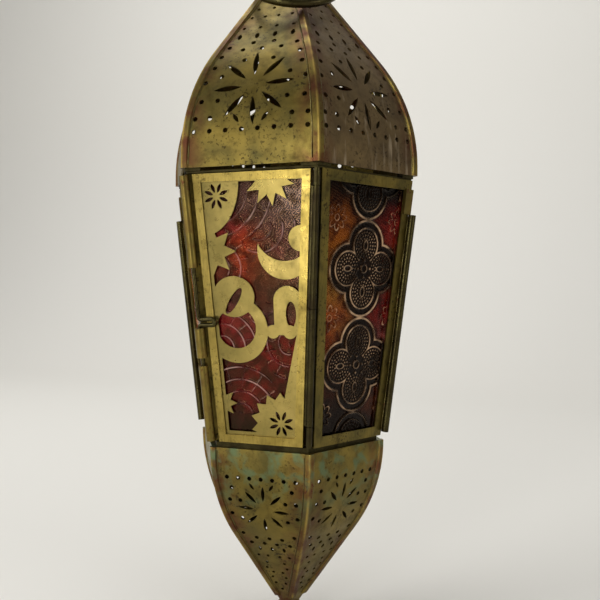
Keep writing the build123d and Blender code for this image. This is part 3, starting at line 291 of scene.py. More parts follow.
def aged_brass(
    name, light, base, dark, rough, grime,
    seam=None, crust=None, streak=0.0, highlight_colour=None, drip=None, latch_shade=0.0,
):
    """Tarnished brass: warm metal, dull brown in patches and spots and rubbed bright between them, with
    painted shade toward the latch and a painted highlight on a seam strip's crest where asked.
    """
    material = bpy.data.materials.new(name)
    material.use_nodes = True
    tree = material.node_tree
    tree.nodes.clear()
    place = add(tree, "ShaderNodeTexCoord", {}, {}).outputs["Object"]
    split = add(tree, "ShaderNodeSeparateXYZ", {}, {"Vector": place})

    # Tarnish drifts over about 17 mm, and stains over about 5 mm
    drift = add(
        tree, "ShaderNodeTexNoise", {}, {"Vector": place, "Scale": per(16.67), "Detail": 4, "Distortion": 0.6}
    )
    tone = add(
        tree, "ShaderNodeMapRange", {}, {"Value": drift.outputs["Fac"], "From Min": 0.24, "From Max": 0.76}
    )
    colour = add(
        tree, "ShaderNodeMix", {"data_type": "RGBA"}, {0: tone.outputs["Result"], 6: base, 7: light}
    ).outputs[2]
    stain = add(
        tree, "ShaderNodeTexNoise", {}, {"Vector": place, "Scale": per(5.26), "Detail": 8, "Roughness": 0.62}
    )
    stained = add(
        tree, "ShaderNodeMapRange", {},
        {"Value": stain.outputs["Fac"], "From Min": 0.5, "From Max": 0.74, "To Max": grime},
    )
    colour = add(
        tree, "ShaderNodeMix", {"data_type": "RGBA"}, {0: stained.outputs["Result"], 6: colour, 7: dark}
    ).outputs[2]

    # Spots of about 1 mm gather in groups of about 20 mm
    spot = add(tree, "ShaderNodeTexNoise", {}, {"Vector": place, "Scale": per(1.22), "Detail": 2})
    groups = add(
        tree, "ShaderNodeTexNoise", {}, {"Vector": place, "Scale": per(21.74), "Detail": 2, "Distortion": 1.0}
    )
    gathered = add(
        tree, "ShaderNodeMapRange", {}, {"Value": groups.outputs["Fac"], "From Min": 0.44, "From Max": 0.6}
    )
    spotted = add(
        tree, "ShaderNodeMapRange", {},
        {"Value": spot.outputs["Fac"], "From Min": 0.57, "From Max": 0.64, "To Max": min(1.0, grime * 1.3)},
    )
    spots = add(
        tree, "ShaderNodeMath", {"operation": "MULTIPLY"},
        {0: gathered.outputs["Result"], 1: spotted.outputs["Result"]},
    )
    colour = add(
        tree, "ShaderNodeMix", {"data_type": "RGBA"}, {0: spots.outputs[0], 6: colour, 7: dark}
    ).outputs[2]

    if streak:
        colour = drawn_marks(tree, place, colour, dark, streak)
    # Painted shade toward the latch side
    if latch_shade:
        colour = shade_toward_latch(tree, split, colour, dark, latch_shade)
    if drip:
        colour = dried_runs(tree, place, split, colour, drip)
    if seam:
        colour = torch_marks(tree, place, split, colour, seam, highlight_colour)
    if crust:
        colour = green_crust(tree, place, split, colour, crust)

    # Tarnish scatters light where rubbed metal mirrors it
    dull = add(
        tree, "ShaderNodeMapRange", {},
        {"Value": stain.outputs["Fac"], "From Min": 0.35, "From Max": 0.7,
         "To Min": rough, "To Max": rough + 0.25},
    )
    # Hand-beaten sheet waves over about 14 mm, with pits of about 0.6 mm
    waves = add(tree, "ShaderNodeTexNoise", {}, {"Vector": place, "Scale": per(14.3), "Detail": 1})
    pits = add(tree, "ShaderNodeTexNoise", {}, {"Vector": place, "Scale": per(0.625), "Detail": 3})
    wavy = add(
        tree, "ShaderNodeBump", {}, {"Height": waves.outputs["Fac"], "Strength": 0.35, "Distance": 1.2 * MM}
    )
    pitted = add(
        tree, "ShaderNodeBump", {},
        {"Height": pits.outputs["Fac"], "Strength": 0.3, "Distance": 0.12 * MM,
         "Normal": wavy.outputs["Normal"]},
    )
    shader = add(
        tree, "ShaderNodeBsdfPrincipled", {},
        {"Base Color": colour, "Metallic": 0.92, "Roughness": dull.outputs["Result"],
         "Normal": pitted.outputs["Normal"]},
    )
    add(tree, "ShaderNodeOutputMaterial", {}, {"Surface": shader.outputs["BSDF"]})
    return material


def pressed_glass(name, rubbed, reflection_tint, thick):
    """Soda glass pressed in a mould and stained: clear, cloudy in colour, with a fire-polished gloss, painted
    highlights on its worn ridges and a painted tint on its reflections.
    """
    material = bpy.data.materials.new(name)
    material.use_nodes = True
    tree = material.node_tree
    tree.nodes.clear()
    place = add(tree, "ShaderNodeTexCoord", {}, {}).outputs["Object"]
    lacquer = add(tree, "ShaderNodeAttribute", {"attribute_name": "stain"}, {})
    # The stain lies thin and thick over about 5 mm
    cloud = add(
        tree, "ShaderNodeTexNoise", {}, {"Vector": place, "Scale": per(5), "Detail": 6, "Distortion": 0.8}
    )
    depth = add(
        tree, "ShaderNodeMapRange", {},
        {"Value": cloud.outputs["Fac"], "From Min": 0.4, "From Max": 0.62, "To Max": 0.9},
    )
    colour = add(
        tree, "ShaderNodeMix", {"data_type": "RGBA", "blend_type": "MULTIPLY"},
        {0: depth.outputs["Result"], 6: lacquer.outputs["Color"], 7: thick},
    )
    # Painted highlight: ridges of the mould, where the stain is worn, are made pale and matt in patches of
    # about 11 mm, the ground keeps its stain
    rise = add(tree, "ShaderNodeAttribute", {"attribute_name": "rise"}, {})
    patch = add(tree, "ShaderNodeTexNoise", {}, {"Vector": place, "Scale": per(11.1), "Detail": 3})
    highlight_patches = add(
        tree, "ShaderNodeMapRange", {},
        {"Value": patch.outputs["Fac"], "From Min": 0.4, "From Max": 0.6, "To Min": 0.2, "To Max": 1.0},
    )
    ridges = add(
        tree, "ShaderNodeMapRange", {}, {"Value": rise.outputs["Fac"], "From Min": 0.3, "From Max": 0.85}
    )
    worn_highlight = add(
        tree, "ShaderNodeMath", {"operation": "MULTIPLY"},
        {0: ridges.outputs["Result"], 1: highlight_patches.outputs["Result"]},
    )
    colour = add(
        tree, "ShaderNodeMix", {"data_type": "RGBA"}, {0: worn_highlight.outputs[0], 6: colour.outputs[2], 7: rubbed}
    )
    clear = add(
        tree, "ShaderNodeMapRange", {}, {"Value": worn_highlight.outputs[0], "To Min": 0.76, "To Max": 0.3}
    )
    haze = add(
        tree, "ShaderNodeMapRange", {},
        {"Value": cloud.outputs["Fac"], "From Min": 0.3, "From Max": 0.7, "To Min": 0.03, "To Max": 0.1},
    )
    # Mould marks of about 1 mm
    ripple = add(tree, "ShaderNodeTexNoise", {}, {"Vector": place, "Scale": per(1.11), "Detail": 2})
    bump = add(
        tree, "ShaderNodeBump", {}, {"Height": ripple.outputs["Fac"], "Strength": 0.4, "Distance": 0.2 * MM}
    )
    # Painted reflection: the pane's reflections are held down and tinted, dim on the sides for the dark room
    # round them, paler on the door
    shader = add(
        tree, "ShaderNodeBsdfPrincipled", {},
        {"Base Color": colour.outputs[2], "Roughness": haze.outputs["Result"], "IOR": 1.5,
         "Specular IOR Level": 0.12, "Specular Tint": reflection_tint,
         "Transmission Weight": clear.outputs["Result"],
         "Normal": bump.outputs["Normal"]},
    )
    add(tree, "ShaderNodeOutputMaterial", {}, {"Surface": shader.outputs["BSDF"]})
    return material


def paint(material, *names):
    """Gives carried nodes their finish."""
    for name in names:
        slots = frame["nodes"][name].data.materials
        slots.clear()
        slots.append(material)


def nodes_of(slot):
    """The nodes that take a finish of the record."""
    return [piece["node"] for piece in frame["record"]["subparts"] if piece["material_slot"] == slot]


def settle(piece, body, material):
    """Puts a finished piece on its body with its finish."""
    piece.data.materials.clear()
    piece.data.materials.append(material)
    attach(piece, body)


def start():
    """Leaves nothing selected before a piece is made."""
    if bpy.context.object and bpy.context.object.mode != "OBJECT":
        bpy.ops.object.mode_set(mode="OBJECT")
    bpy.ops.object.select_all(action="DESELECT")


def side_place(turn):
    """Where a side stands: X across it, Y up its lean, Z outward, from the middle of its foot, in metres."""
    across = Vector((1, 0, 0))
    out = Vector((0, -cos(FACE_LEAN), -sin(FACE_LEAN)))
    up = out.cross(across)
    place = Matrix((across, up, out)).transposed().to_4x4()
    place.translation = Vector((0, -SIDE_BOTTOM[0], SIDE_BOTTOM[1])) * MM
    return Matrix.Rotation(turn * STEP, 4, "Z") @ place


def pane_size(node, place):
    """Foot, head, left and right edges at both, front and thickness of a pane, from its solid."""
    back = place.inverted()
    points = [back @ vertex.co for vertex in frame["nodes"][node].data.vertices]
    foot = min(point.y for point in points)
    head = max(point.y for point in points)
    middle = (foot + head) / 2
    low = [point.x for point in points if point.y < middle]
    high = [point.x for point in points if point.y > middle]
    front = max(point.z for point in points)
    thickness = front - min(point.z for point in points)
    return foot, head, (min(low), max(low)), (min(high), max(high)), front, thickness


def ridge(distance, half_width):
    """Rounded line of a mould, 1 on its middle."""
    share = distance / half_width
    return max(0.0, 1 - share * share)


# Quatrefoils of the fixed panes, as the solids have them. Millimetres
MOTIF_ACROSS = 3.2
MOTIF_HEIGHT = 74.4
LOBE_OFFSET = 9.8
LOBE_OUTER = 10.3
LOBE_INNER = 7.2
FLOWER_OFFSET = 18.2

# Fine work on the fixed panes. Millimetres, and each row of beads has its radius and count
BEAD_ROWS = ((5.7, 24), (4.3, 18), (2.95, 13))
CORE_INSET = 2
CORE_CLEAR = 4.6
LEAF_LENGTH = 2.2
LEAF_WIDTH = 1.25
BOSS_RADIUS = 1.7
DIAMOND_OFFSET = 3.6
FLOWER_RADIUS = 5.2
FLOWER_EYE = 1.3
STUD_RADIUS = 1.4
RIB_PITCH = 1.25
RIB_SLANT = 0.35

# Painted shade beside and inside the quatrefoils fades over some millimetres and leaves some light, and at a
# pane's foot and head some of the ridge highlight is left
SHADE_FADE = 2.2
SHADE_LIGHT_LEFT = 0.04
EDGE_HIGHLIGHT_LEFT = 0.1


def quatrefoil(x, y):
    """Height of one beaded quatrefoil, in shares of the relief. Millimetres from its middle."""
    lobe_out, inner, outer = LOBE_OFFSET, LOBE_INNER, LOBE_OUTER
    lobes = ((lobe_out, 0), (0, lobe_out), (-lobe_out, 0), (0, -lobe_out))
    runs = [hypot(x - a, y - b) for a, b in lobes]
    nearest = min(range(4), key=runs.__getitem__)
    run = runs[nearest]
    core = hypot(x, y)
    if min(run - outer, core - outer) > 1:
        return 0.0
    height = ridge(min(run - outer, core - outer + CORE_INSET), 0.75)
    height = max(height, 0.9 * ridge(min(run - inner, core - inner + CORE_INSET), 0.6))
    if min(run, core) < inner:
        height = max(height, 0.12)
    lobe_x, lobe_y = lobes[nearest]
    turn = atan2(y - lobe_y, x - lobe_x)
    if core > CORE_CLEAR:
        for row, beads in BEAD_ROWS:
            height = max(height, 0.85 * ridge(run - row, 0.62) * (0.5 + 0.5 * cos(beads * turn)))
    along = (x - lobe_x) * lobe_x / lobe_out + (y - lobe_y) * lobe_y / lobe_out
    aside = (x - lobe_x) * lobe_y / lobe_out - (y - lobe_y) * lobe_x / lobe_out
    leaf = hypot(along / LEAF_LENGTH, aside / LEAF_WIDTH)
    height = max(height, 0.75 * ridge(leaf - 0.95, 0.3))
    height = max(height, 0.8 * ridge(core - BOSS_RADIUS, 0.45))
    far, close = max(abs(x), abs(y)), min(abs(x), abs(y))
    diamond = abs(far - DIAMOND_OFFSET) + close
    return max(height, 0.8 * ridge(diamond, 1.1))


def quatrefoil_shade(x, y, pitch):
    """Share of the stain's light left by the painted shade beside and inside the quatrefoils."""
    x -= MOTIF_ACROSS
    row = (y - MOTIF_HEIGHT) / pitch
    y = (row - round(row)) * pitch
    run = min(hypot(abs(x) - LOBE_OFFSET, y), hypot(x, abs(y) - LOBE_OFFSET))
    edge = min(run - LOBE_OUTER, hypot(x, y) - LOBE_OUTER + CORE_INSET)
    return min(1.0, max(SHADE_LIGHT_LEFT, (edge + 0.2) / SHADE_FADE))


def daisy(x, y):
    """Height of a small flower. Millimetres from its middle."""
    run = hypot(x, y)
    if run > FLOWER_RADIUS + 1:
        return 0.0
    turn = atan2(y, x)
    edge = FLOWER_RADIUS * (0.55 + 0.45 * abs(cos(4 * turn)))
    return max(0.85 * ridge(run - edge, 0.55), 0.7 * ridge(run - FLOWER_EYE, 0.5))


def side_relief(x, y, pitch):
    """Pressed ground of a fixed pane: a column of quatrefoils, flowers between, fine ribs behind."""
    x -= MOTIF_ACROSS
    row = (y - MOTIF_HEIGHT) / pitch
    height = quatrefoil(x, (row - round(row)) * pitch)
    half = (row - 0.5 - round(row - 0.5)) * pitch
    for side in (-1, 1):
        height = max(height, daisy(x - side * FLOWER_OFFSET, half))
    height = max(height, 0.9 * ridge(hypot(x, half), STUD_RADIUS))
    return max(height, 0.16 * (0.5 + 0.5 * cos(2 * pi * (y + RIB_SLANT * x) / RIB_PITCH)))


# Grain, veins and spokes of the door pane, in millimetres and degrees
GRAIN_PITCH = 1.4
VEIN_PITCH = 5.2
SPOKE_STEP = 24

# Fans of veined leaves on the door pane: middle, radius, direction and half spread in degrees
DOOR_LEAVES = (
    (-16, 109, 26, 305, 50),
    (4, 92, 15, 300, 70),
    (-17, 76, 15, 10, 58),
    (-17, 42, 17, 35, 62),
    (6, 60, 11, 240, 60),
    (-10, 13, 21, 55, 62),
    (15, 42, 14, 190, 75),
)


def door_relief(x, y):
    """Pressed ground of the door pane: leaves with curved veins, over a fine grain."""
    height = 0.06 * (0.5 + 0.5 * cos(2 * pi * x / GRAIN_PITCH) * cos(2 * pi * y / GRAIN_PITCH))
    for middle_x, middle_y, radius, facing, spread in DOOR_LEAVES:
        run = hypot(x - middle_x, y - middle_y)
        if run > radius:
            continue
        turn = degrees(atan2(y - middle_y, x - middle_x)) - facing
        turn = (turn + 180) % 360 - 180
        if abs(turn) > spread:
            continue
        fade = min(1.0, (spread - abs(turn)) / 8)
        veins = (run + 0.03 * turn) / VEIN_PITCH
        height = max(height, fade * 0.95 * ridge((veins - round(veins)) * VEIN_PITCH, 0.5))
        spokes = turn / SPOKE_STEP - round(turn / SPOKE_STEP)
        if 0.55 < run / radius < 0.95:
            height = max(height, 0.55 * fade * ridge(spokes * radians(SPOKE_STEP) * run, 0.4))
        break
    return height


# Stain patches of a pane, and on the amber and ruby panes near-black patches at the head and foot that are
# painted shade of the dome and bowl: middle and reach in millimetres from the middle of the side's foot, and
# colour
DOOR_STAINS = (
    (-8, 106, 8, "#8A625A"), (1, 100, 8, "#96685C"), (15, 101, 9, "#B8A09E"), (8, 92, 8, "#8A5A50"),
    (-9, 91, 5, "#C83A48"), (-5, 86, 6, "#FF5A2C"), (-4, 80, 6, "#F05C2C"), (-8, 75, 6, "#E8482C"),
    (4, 86, 5, "#9A5430"), (11, 84, 7, "#A85C58"), (4, 76, 6, "#9E5830"), (-14, 71, 5, "#B85A4C"),
    (-18, 67, 4, "#C8481C"), (3, 62, 7, "#7A2A1C"), (-9, 60, 5, "#9A5C5C"), (-10, 50, 7, "#C0222E"),
    (-8, 44, 6, "#B81A34"), (6, 52, 5, "#8A5454"), (8, 40, 7, "#B41422"), (14, 40, 6, "#C81820"),
    (-12, 30, 7, "#72141C"), (0, 28, 7, "#B41C22"), (8, 26, 7, "#70121A"), (-6, 20, 6, "#B01422"),
    (-8, 9, 9, "#3C1218"), (10, 8, 9, "#3C1218"),
)
AMBER_STAINS_AND_SHADE = (
    (-13, 92, 8, "#F08028"), (-16, 82, 7, "#F48C28"), (-16, 67, 7, "#FFB048"), (-9, 62, 6, "#F8A444"),
    (-10, 56, 5, "#D84A20"), (-9, 48, 7, "#F09A48"), (-14, 43, 7, "#DC5C20"), (-14, 30, 8, "#7A3218"),
    (17, 92, 7, "#C82A24"), (16, 55, 8, "#BC181C"), (18, 45, 6, "#C86A60"), (12, 14, 7, "#8A401C"),
    (-10, 111, 13, "#140A06"), (10, 111, 13, "#180C08"), (-8, 7, 14, "#120A06"), (10, 4, 12, "#120A06"),
    (22, 72, 6, "#3A120C"), (20, 30, 7, "#4A1A14"), (3, 74, 14, "#A05A30"), (3, 33, 13, "#7A4424"),
)
RUBY_STAINS_AND_SHADE = (
    (-12, 60, 10, "#E03A2C"), (12, 90, 9, "#C82A34"), (14, 56, 9, "#E8582C"), (-12, 94, 8, "#D83428"),
    (-10, 26, 8, "#B81E38"), (14, 16, 8, "#A0202A"), (3, 74, 14, "#A83A34"), (3, 33, 13, "#8A2C30"),
    (-10, 111, 13, "#200A08"), (10, 111, 13, "#200A08"), (0, 5, 14, "#180808"),
)


def stain_and_shade_colours(points, stains, light):
    """Colour of each point from the patches round it, times the light that the painted shade on it leaves."""
    mixed = []
    patches = [(x, y, reach, linear(code)) for x, y, reach, code in stains]
    for point in points:
        x, y = point.x / MM, point.y / MM
        total = [1e-6, 1e-6, 1e-6]
        weight = 2e-6
        for middle_x, middle_y, reach, colour in patches:
            share = exp(-((x - middle_x) ** 2 + (y - middle_y) ** 2) / (reach * reach))
            weight += share
            total = [old + share * new for old, new in zip(total, colour)]
        left = light(x, y)
        mixed.extend([left * value / weight for value in total] + [1.0])
    return mixed


def press_pane(name, size, relief, sizes):
    """A pane in its own plane, its ground pressed in behind a flat rim, X across and Y up."""
    foot, head, low, high, front, thickness = size
    start()
    columns = round((high[1] - high[0]) / sizes.relief_cell)
    rows = round((head - foot) / sizes.relief_cell)
    bpy.ops.mesh.primitive_grid_add(x_subdivisions=columns, y_subdivisions=rows, size=1)
    pane = bpy.context.object
    pane.name = name
    rise = pane.vertex_groups.new(name="relief")
    levels = []
    for vertex in pane.data.vertices:
        share = vertex.co.y + 0.5
        left = low[0] + share * (high[0] - low[0])
        right = low[1] + share * (high[1] - low[1])
        x = left + (vertex.co.x + 0.5) * (right - left)
        y = foot + share * (head - foot)
        vertex.co = (x, y, front - sizes.relief_depth)
        edge = min(x - left, right - x, y - foot, head - y)
        in_channel = edge < sizes.pane_rim
        level = relief(x / MM, y / MM)
        # Painted shade along the foot and the head of a pane: the ridge highlight fades out there
        unshaded = min(1.0, EDGE_HIGHLIGHT_LEFT + min(y - foot, head - y) / sizes.shade_reach)
        rise.add([vertex.index], 1.0 if in_channel else level, "REPLACE")
        levels.append(0.0 if in_channel else level * unshaded)
    worn_highlight = pane.data.attributes.new("rise", "FLOAT", "POINT")
    worn_highlight.data.foreach_set("value", levels)
    press = pane.modifiers.new("Press", "DISPLACE")
    press.direction = "Z"
    press.mid_level = 0
    press.strength = sizes.relief_depth
    press.vertex_group = "relief"
    bpy.ops.object.modifier_apply(modifier="Press")
    pane.vertex_groups.clear()
    bpy.ops.object.mode_set(mode="EDIT")
    bpy.ops.mesh.select_all(action="SELECT")
    bpy.ops.mesh.region_to_loop()
    bpy.ops.mesh.extrude_edges_move(TRANSFORM_OT_translate={"value": (0, 0, -thickness)})
    bpy.ops.mesh.edge_face_add()
    bpy.ops.mesh.select_all(action="SELECT")
    bpy.ops.mesh.normals_make_consistent(inside=False)
    bpy.ops.object.mode_set(mode="OBJECT")
    bpy.ops.object.shade_smooth_by_angle(angle=radians(50))
    if len(pane.data.polygons) < columns * rows:
        raise RuntimeError(name + " lost faces")
    return pane


def stain_and_shade_pane(pane, stains, light):
    """Writes the stain's colour, with any painted shade, on a pane that still lies in its own plane."""
    points = [vertex.co for vertex in pane.data.vertices]
    layer = pane.data.attributes.new("stain", "FLOAT_COLOR", "POINT")
    layer.data.foreach_set("color", stain_and_shade_colours(points, stains, light))


def stand(pane, place):
    """Moves a pane to its side, with its place in its mesh."""
    start()
    pane.matrix_world = place
    pane.select_set(True)
    bpy.context.view_layer.objects.active = pane
    bpy.ops.object.transform_apply(location=True, rotation=True, scale=True)


class LANTERN_OT_side_panes(bpy.types.Operator):
    """Press the panes of the five fixed sides"""

    bl_idname = "lantern.side_panes"
    bl_label = "Side panes"

    def execute(self, context):
        sizes = context.scene.lantern_sizes
        tint = context.scene.lantern_colours
        pitch = sizes.motif_pitch / MM
        # Painted highlight on the ridges and a painted dim tint on the reflections of the side panes
        looks = (tint.bead, tint.dull, tint.thick)
        glass = {
            "amber_pressed_glass": pressed_glass("Amber stained pressed glass", *looks),
            "ruby_pressed_glass": pressed_glass("Ruby stained pressed glass", *looks),
        }
        stains = {"amber_pressed_glass": AMBER_STAINS_AND_SHADE, "ruby_pressed_glass": RUBY_STAINS_AND_SHADE}
        panes = []
        for turn in range(1, SIDES):
            name = f"side_{turn + 1}_pressed_pane"
            size = pane_size(f"side_{turn + 1}_glass", side_place(turn))
            if turn in (1, 2, SIDES - 1):
                pane = press_pane(name, size, lambda x, y: side_relief(x, y, pitch), sizes)
            else:
                start()
                panes[1].select_set(True)
                context.view_layer.objects.active = panes[1]
                bpy.ops.object.duplicate(linked=False)
                pane = context.object
                pane.name = name
            panes.append(pane)
        for turn, pane in enumerate(panes, 1):
            node = f"side_{turn + 1}_glass"
            slot = "amber_pressed_glass" if node in nodes_of("amber_pressed_glass") else "ruby_pressed_glass"
            stain_and_shade_pane(pane, stains[slot], lambda x, y: quatrefoil_shade(x, y, pitch))
            stand(pane, side_place(turn))
            settle(pane, "lantern", glass[slot])
            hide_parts(node)
        return {"FINISHED"}


class LANTERN_OT_door_pane(bpy.types.Operator):
    """Press the pane behind the door's fretwork"""

    bl_idname = "lantern.door_pane"
    bl_label = "Door pane"

    def execute(self, context):
        sizes = context.scene.lantern_sizes
        tint = context.scene.lantern_colours
        pane = press_pane("door_pressed_pane", pane_size("door_glass", side_place(0)), door_relief, sizes)
        stain_and_shade_pane(pane, DOOR_STAINS, lambda x, y: 1.0)
        stand(pane, side_place(0))
        # Painted highlight on the veins and a painted bright tint on the reflections of the door pane
        glass = pressed_glass("Cranberry stained pressed glass", tint.vein_highlight, tint.reflection_tint, tint.thick)
        settle(pane, "door", glass)
        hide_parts("door_glass")
        return {"FINISHED"}


class LANTERN_OT_pierced_sheets(bpy.types.Operator):
    """Finish the pierced dome and bowl and their seam strips"""

    bl_idname = "lantern.pierced_sheets"
    bl_label = "Pierced sheets"

    def execute(self, context):
        tint = context.scene.lantern_colours
        sheet = aged_brass(
            "Tarnished pierced brass sheet", tint.gold, tint.olive, tint.brown, 0.3, 0.55,
            seam=tint.copper, crust=tint.verdigris,
        )
        paint(sheet, *nodes_of("aged_brass_sheet"))
        # Painted reflection: dome_panel_2 gets a paler, greyer copy of the sheet for the grey it reflects;
        # the dried runs on it are marks of the sheet
        greyed = aged_brass(
            "Pierced brass sheet with painted grey reflection", tint.tan, tint.umber, tint.brown, 0.3, 0.55,
            seam=tint.copper, drip=tint.dried,
        )
        paint(greyed, "dome_panel_2")
        strip = aged_brass(
            "Soldered brass seam strip", tint.gold, tint.olive, tint.copper, 0.3, 0.9,
            seam=tint.copper, crust=tint.verdigris, highlight_colour=tint.crest,
        )
        paint(strip, *nodes_of("soldered_seam_strip"))
        return {"FINISHED"}


class LANTERN_OT_channel_frames(bpy.types.Operator):
    """Finish the folded channels round the panes"""

    bl_idname = "lantern.channel_frames"
    bl_label = "Channel frames"

    def execute(self, context):
        tint = context.scene.lantern_colours
        aged = aged_brass(
            "Tarnished brass channel", tint.gold, tint.olive, tint.brown, 0.32, 0.6, streak=0.35
        )
        paint(aged, *nodes_of("aged_brass_channel"))
        bright = aged_brass(
            "Rubbed brass channel", tint.bright, tint.gold, tint.brown, 0.24, 0.35,
            streak=0.3, latch_shade=0.3,
        )
        paint(bright, *nodes_of("bright_brass_channel"))
        return {"FINISHED"}


class LANTERN_OT_door_fretwork(bpy.types.Operator):
    """Finish the cut brass ornament of the door"""

    bl_idname = "lantern.door_fretwork"
    bl_label = "Door fretwork"

    def execute(self, context):
        tint = context.scene.lantern_colours
        satin = aged_brass(
            "Satin cut brass sheet", tint.satin, tint.satin_shade, tint.olive, 0.24, 0.35, latch_shade=0.6
        )
        paint(satin, *nodes_of("cut_brass_fretwork"))
        return {"FINISHED"}


class LANTERN_OT_corner_fittings(bpy.types.Operator):
    """Finish the rods, sleeves, hinge and latch"""

    bl_idname = "lantern.corner_fittings"
    bl_label = "Corner fittings"

    def execute(self, context):
        tint = context.scene.lantern_colours
        wire = aged_brass("Drawn brass wire", tint.olive, tint.brown, tint.brown, 0.2, 0.6)
        paint(wire, *nodes_of("brass_wire"))
        tube = aged_brass("Rolled brass tube", tint.gold, tint.olive, tint.copper, 0.3, 0.6, streak=0.3)
        paint(tube, *nodes_of("brass_tube"))
        # Painted shade: the hinge tubes are darkened for the recess between door and side that they sit in
        shaded_hinge_tube = aged_brass(
            "Hinge tube brass with painted shade", tint.olive, tint.brown, tint.brown, 0.24, 0.7, streak=0.4
        )
        paint(shaded_hinge_tube, "hinge_sleeves", "door_knuckles", "hinge_rod")
        return {"FINISHED"}


class LANTERN_OT_crown_and_inside(bpy.types.Operator):
    """Finish the crown, the tip and the plain pieces inside"""

    bl_idname = "lantern.crown_and_inside"
    bl_label = "Crown and inside"

    def execute(self, context):
        tint = context.scene.lantern_colours
        turned = aged_brass("Spun and turned brass", tint.gold, tint.olive, tint.brown, 0.3, 0.6)
        paint(turned, *nodes_of("turned_brass"))
        # Painted shade: the pieces inside are darkened for the shadow in the gap under the dome
        plain = aged_brass("Inside brass with painted shade", tint.olive, tint.brown, tint.brown, 0.5, 0.6)
        paint(plain, *nodes_of("plain_brass_inside"))
        return {"FINISHED"}


class Sheet:
    """Section of a pierced sheet: wall, shoulder and slope, from its rim. Millimetres."""

    def __init__(self, rim, shoulder, radius, end, height, rim_z, way):
        self.rim, self.radius, self.rim_z, self.way = rim, radius, rim_z, way
        self.turn = atan2(rim - end, height - shoulder)
        tangent = radius * tan(self.turn / 2)
        self.wall = shoulder - tangent
        self.bend = radius * self.turn
        self.length = self.wall + self.bend + hypot(rim - end, height - shoulder) - tangent

    def point(self, along):
        """Radius and height at a distance along the sheet."""
        angle = min(max(along - self.wall, 0) / self.radius, self.turn)
        past = max(along - self.wall - self.bend, 0)
        radius = self.rim - self.radius * (1 - cos(angle)) - past * sin(angle)
        rise = min(along, self.wall) + self.radius * sin(angle) + past * cos(angle)
        return radius, self.rim_z + self.way * rise


DOME = Sheet(EAVE_APOTHEM, DOME_SHOULDER, DOME_BEND, DOME_END_APOTHEM, DOME_HEIGHT, EAVE_Z, 1)
BOWL = Sheet(BOWL_APOTHEM, BOWL_SHOULDER, BOWL_BEND, BOWL_END_APOTHEM, BOWL_DEPTH, BOWL_Z, -1)


# Runs of solder: spots along each, how a bead swells, and how far it strays in millimetres
SEAM_SPOTS = 26
ROD_SPOTS = 30
BEAD_SWELL = (0.55, 1.5)
SEAM_STRAY = (-0.2, 0.25)
ROD_STRAY = (-0.15, 0.15)

# Solder of a corner rod: start and length in shares of the side, and how much thicker than a seam's
ROD_START = 0.022
ROD_SHARE = 0.84
ROD_THICKER = 1.4


def solder_run(spots, mean, chance):
    """One uneven run of solder through some spots, as a mesh. Millimetres."""
    start()
    bpy.ops.curve.primitive_nurbs_path_add()
    bead = bpy.context.object
    spline = bead.data.splines[0]
    spline.points.add(len(spots) - len(spline.points))
    for point, spot in zip(spline.points, spots):
        point.co = (*(spot * MM), 1)
        point.radius = chance.uniform(*BEAD_SWELL)
    spline.order_u = 4
    spline.use_endpoint_u = True
    spline.resolution_u = 3
    bead.data.bevel_depth = mean
    bead.data.bevel_resolution = 1
    bead.data.use_fill_caps = True
    bpy.ops.object.convert(target="MESH")
    return bpy.context.object


def seam_spots(sheet, corner, side, off, ends, chance):
    """Spots beside a seam strip, from one end of the solder to the other."""
    spots = []
    for number in range(SEAM_SPOTS):
        radius, height = sheet.point(ends[0] + (ends[1] - ends[0]) * number / (SEAM_SPOTS - 1))
        reach = radius / cos(HALF) - off * tan(HALF)
        aside = side * (off + chance.uniform(*SEAM_STRAY))
        spots.append(Matrix.Rotation(corner * STEP, 3, "Z") @ Vector((reach, aside, height)))
    return spots


def rod_spots(corner, chance):
    """Spots between a corner rod and the frames that it is soldered to."""
    foot = Vector((SIDE_BOTTOM[0] / cos(HALF) + 0.1, 0, SIDE_BOTTOM[1]))
    head = Vector((SIDE_TOP[0] / cos(HALF) + 0.1, 0, SIDE_TOP[1]))
    spots = []
    for number in range(ROD_SPOTS):
        spot = foot.lerp(head, ROD_START + ROD_SHARE * number / (ROD_SPOTS - 1))
        spot.y += chance.uniform(*ROD_STRAY)
        spots.append(Matrix.Rotation(corner * STEP, 3, "Z") @ spot)
    return spots


def join(pieces, name):
    """One piece out of several, its place in its mesh."""
    start()
    for piece in pieces:
        piece.select_set(True)
    bpy.context.view_layer.objects.active = pieces[0]
    bpy.ops.object.join()
    whole = bpy.context.object
    whole.name = name
    bpy.ops.object.transform_apply(location=True, rotation=True, scale=True)
    bpy.ops.object.mode_set(mode="EDIT")
    bpy.ops.mesh.select_all(action="SELECT")
    bpy.ops.mesh.remove_doubles(threshold=1e-6)
    bpy.ops.mesh.normals_make_consistent(inside=False)
    bpy.ops.object.mode_set(mode="OBJECT")
    bpy.ops.object.shade_smooth_by_angle(angle=radians(60))
    return whole


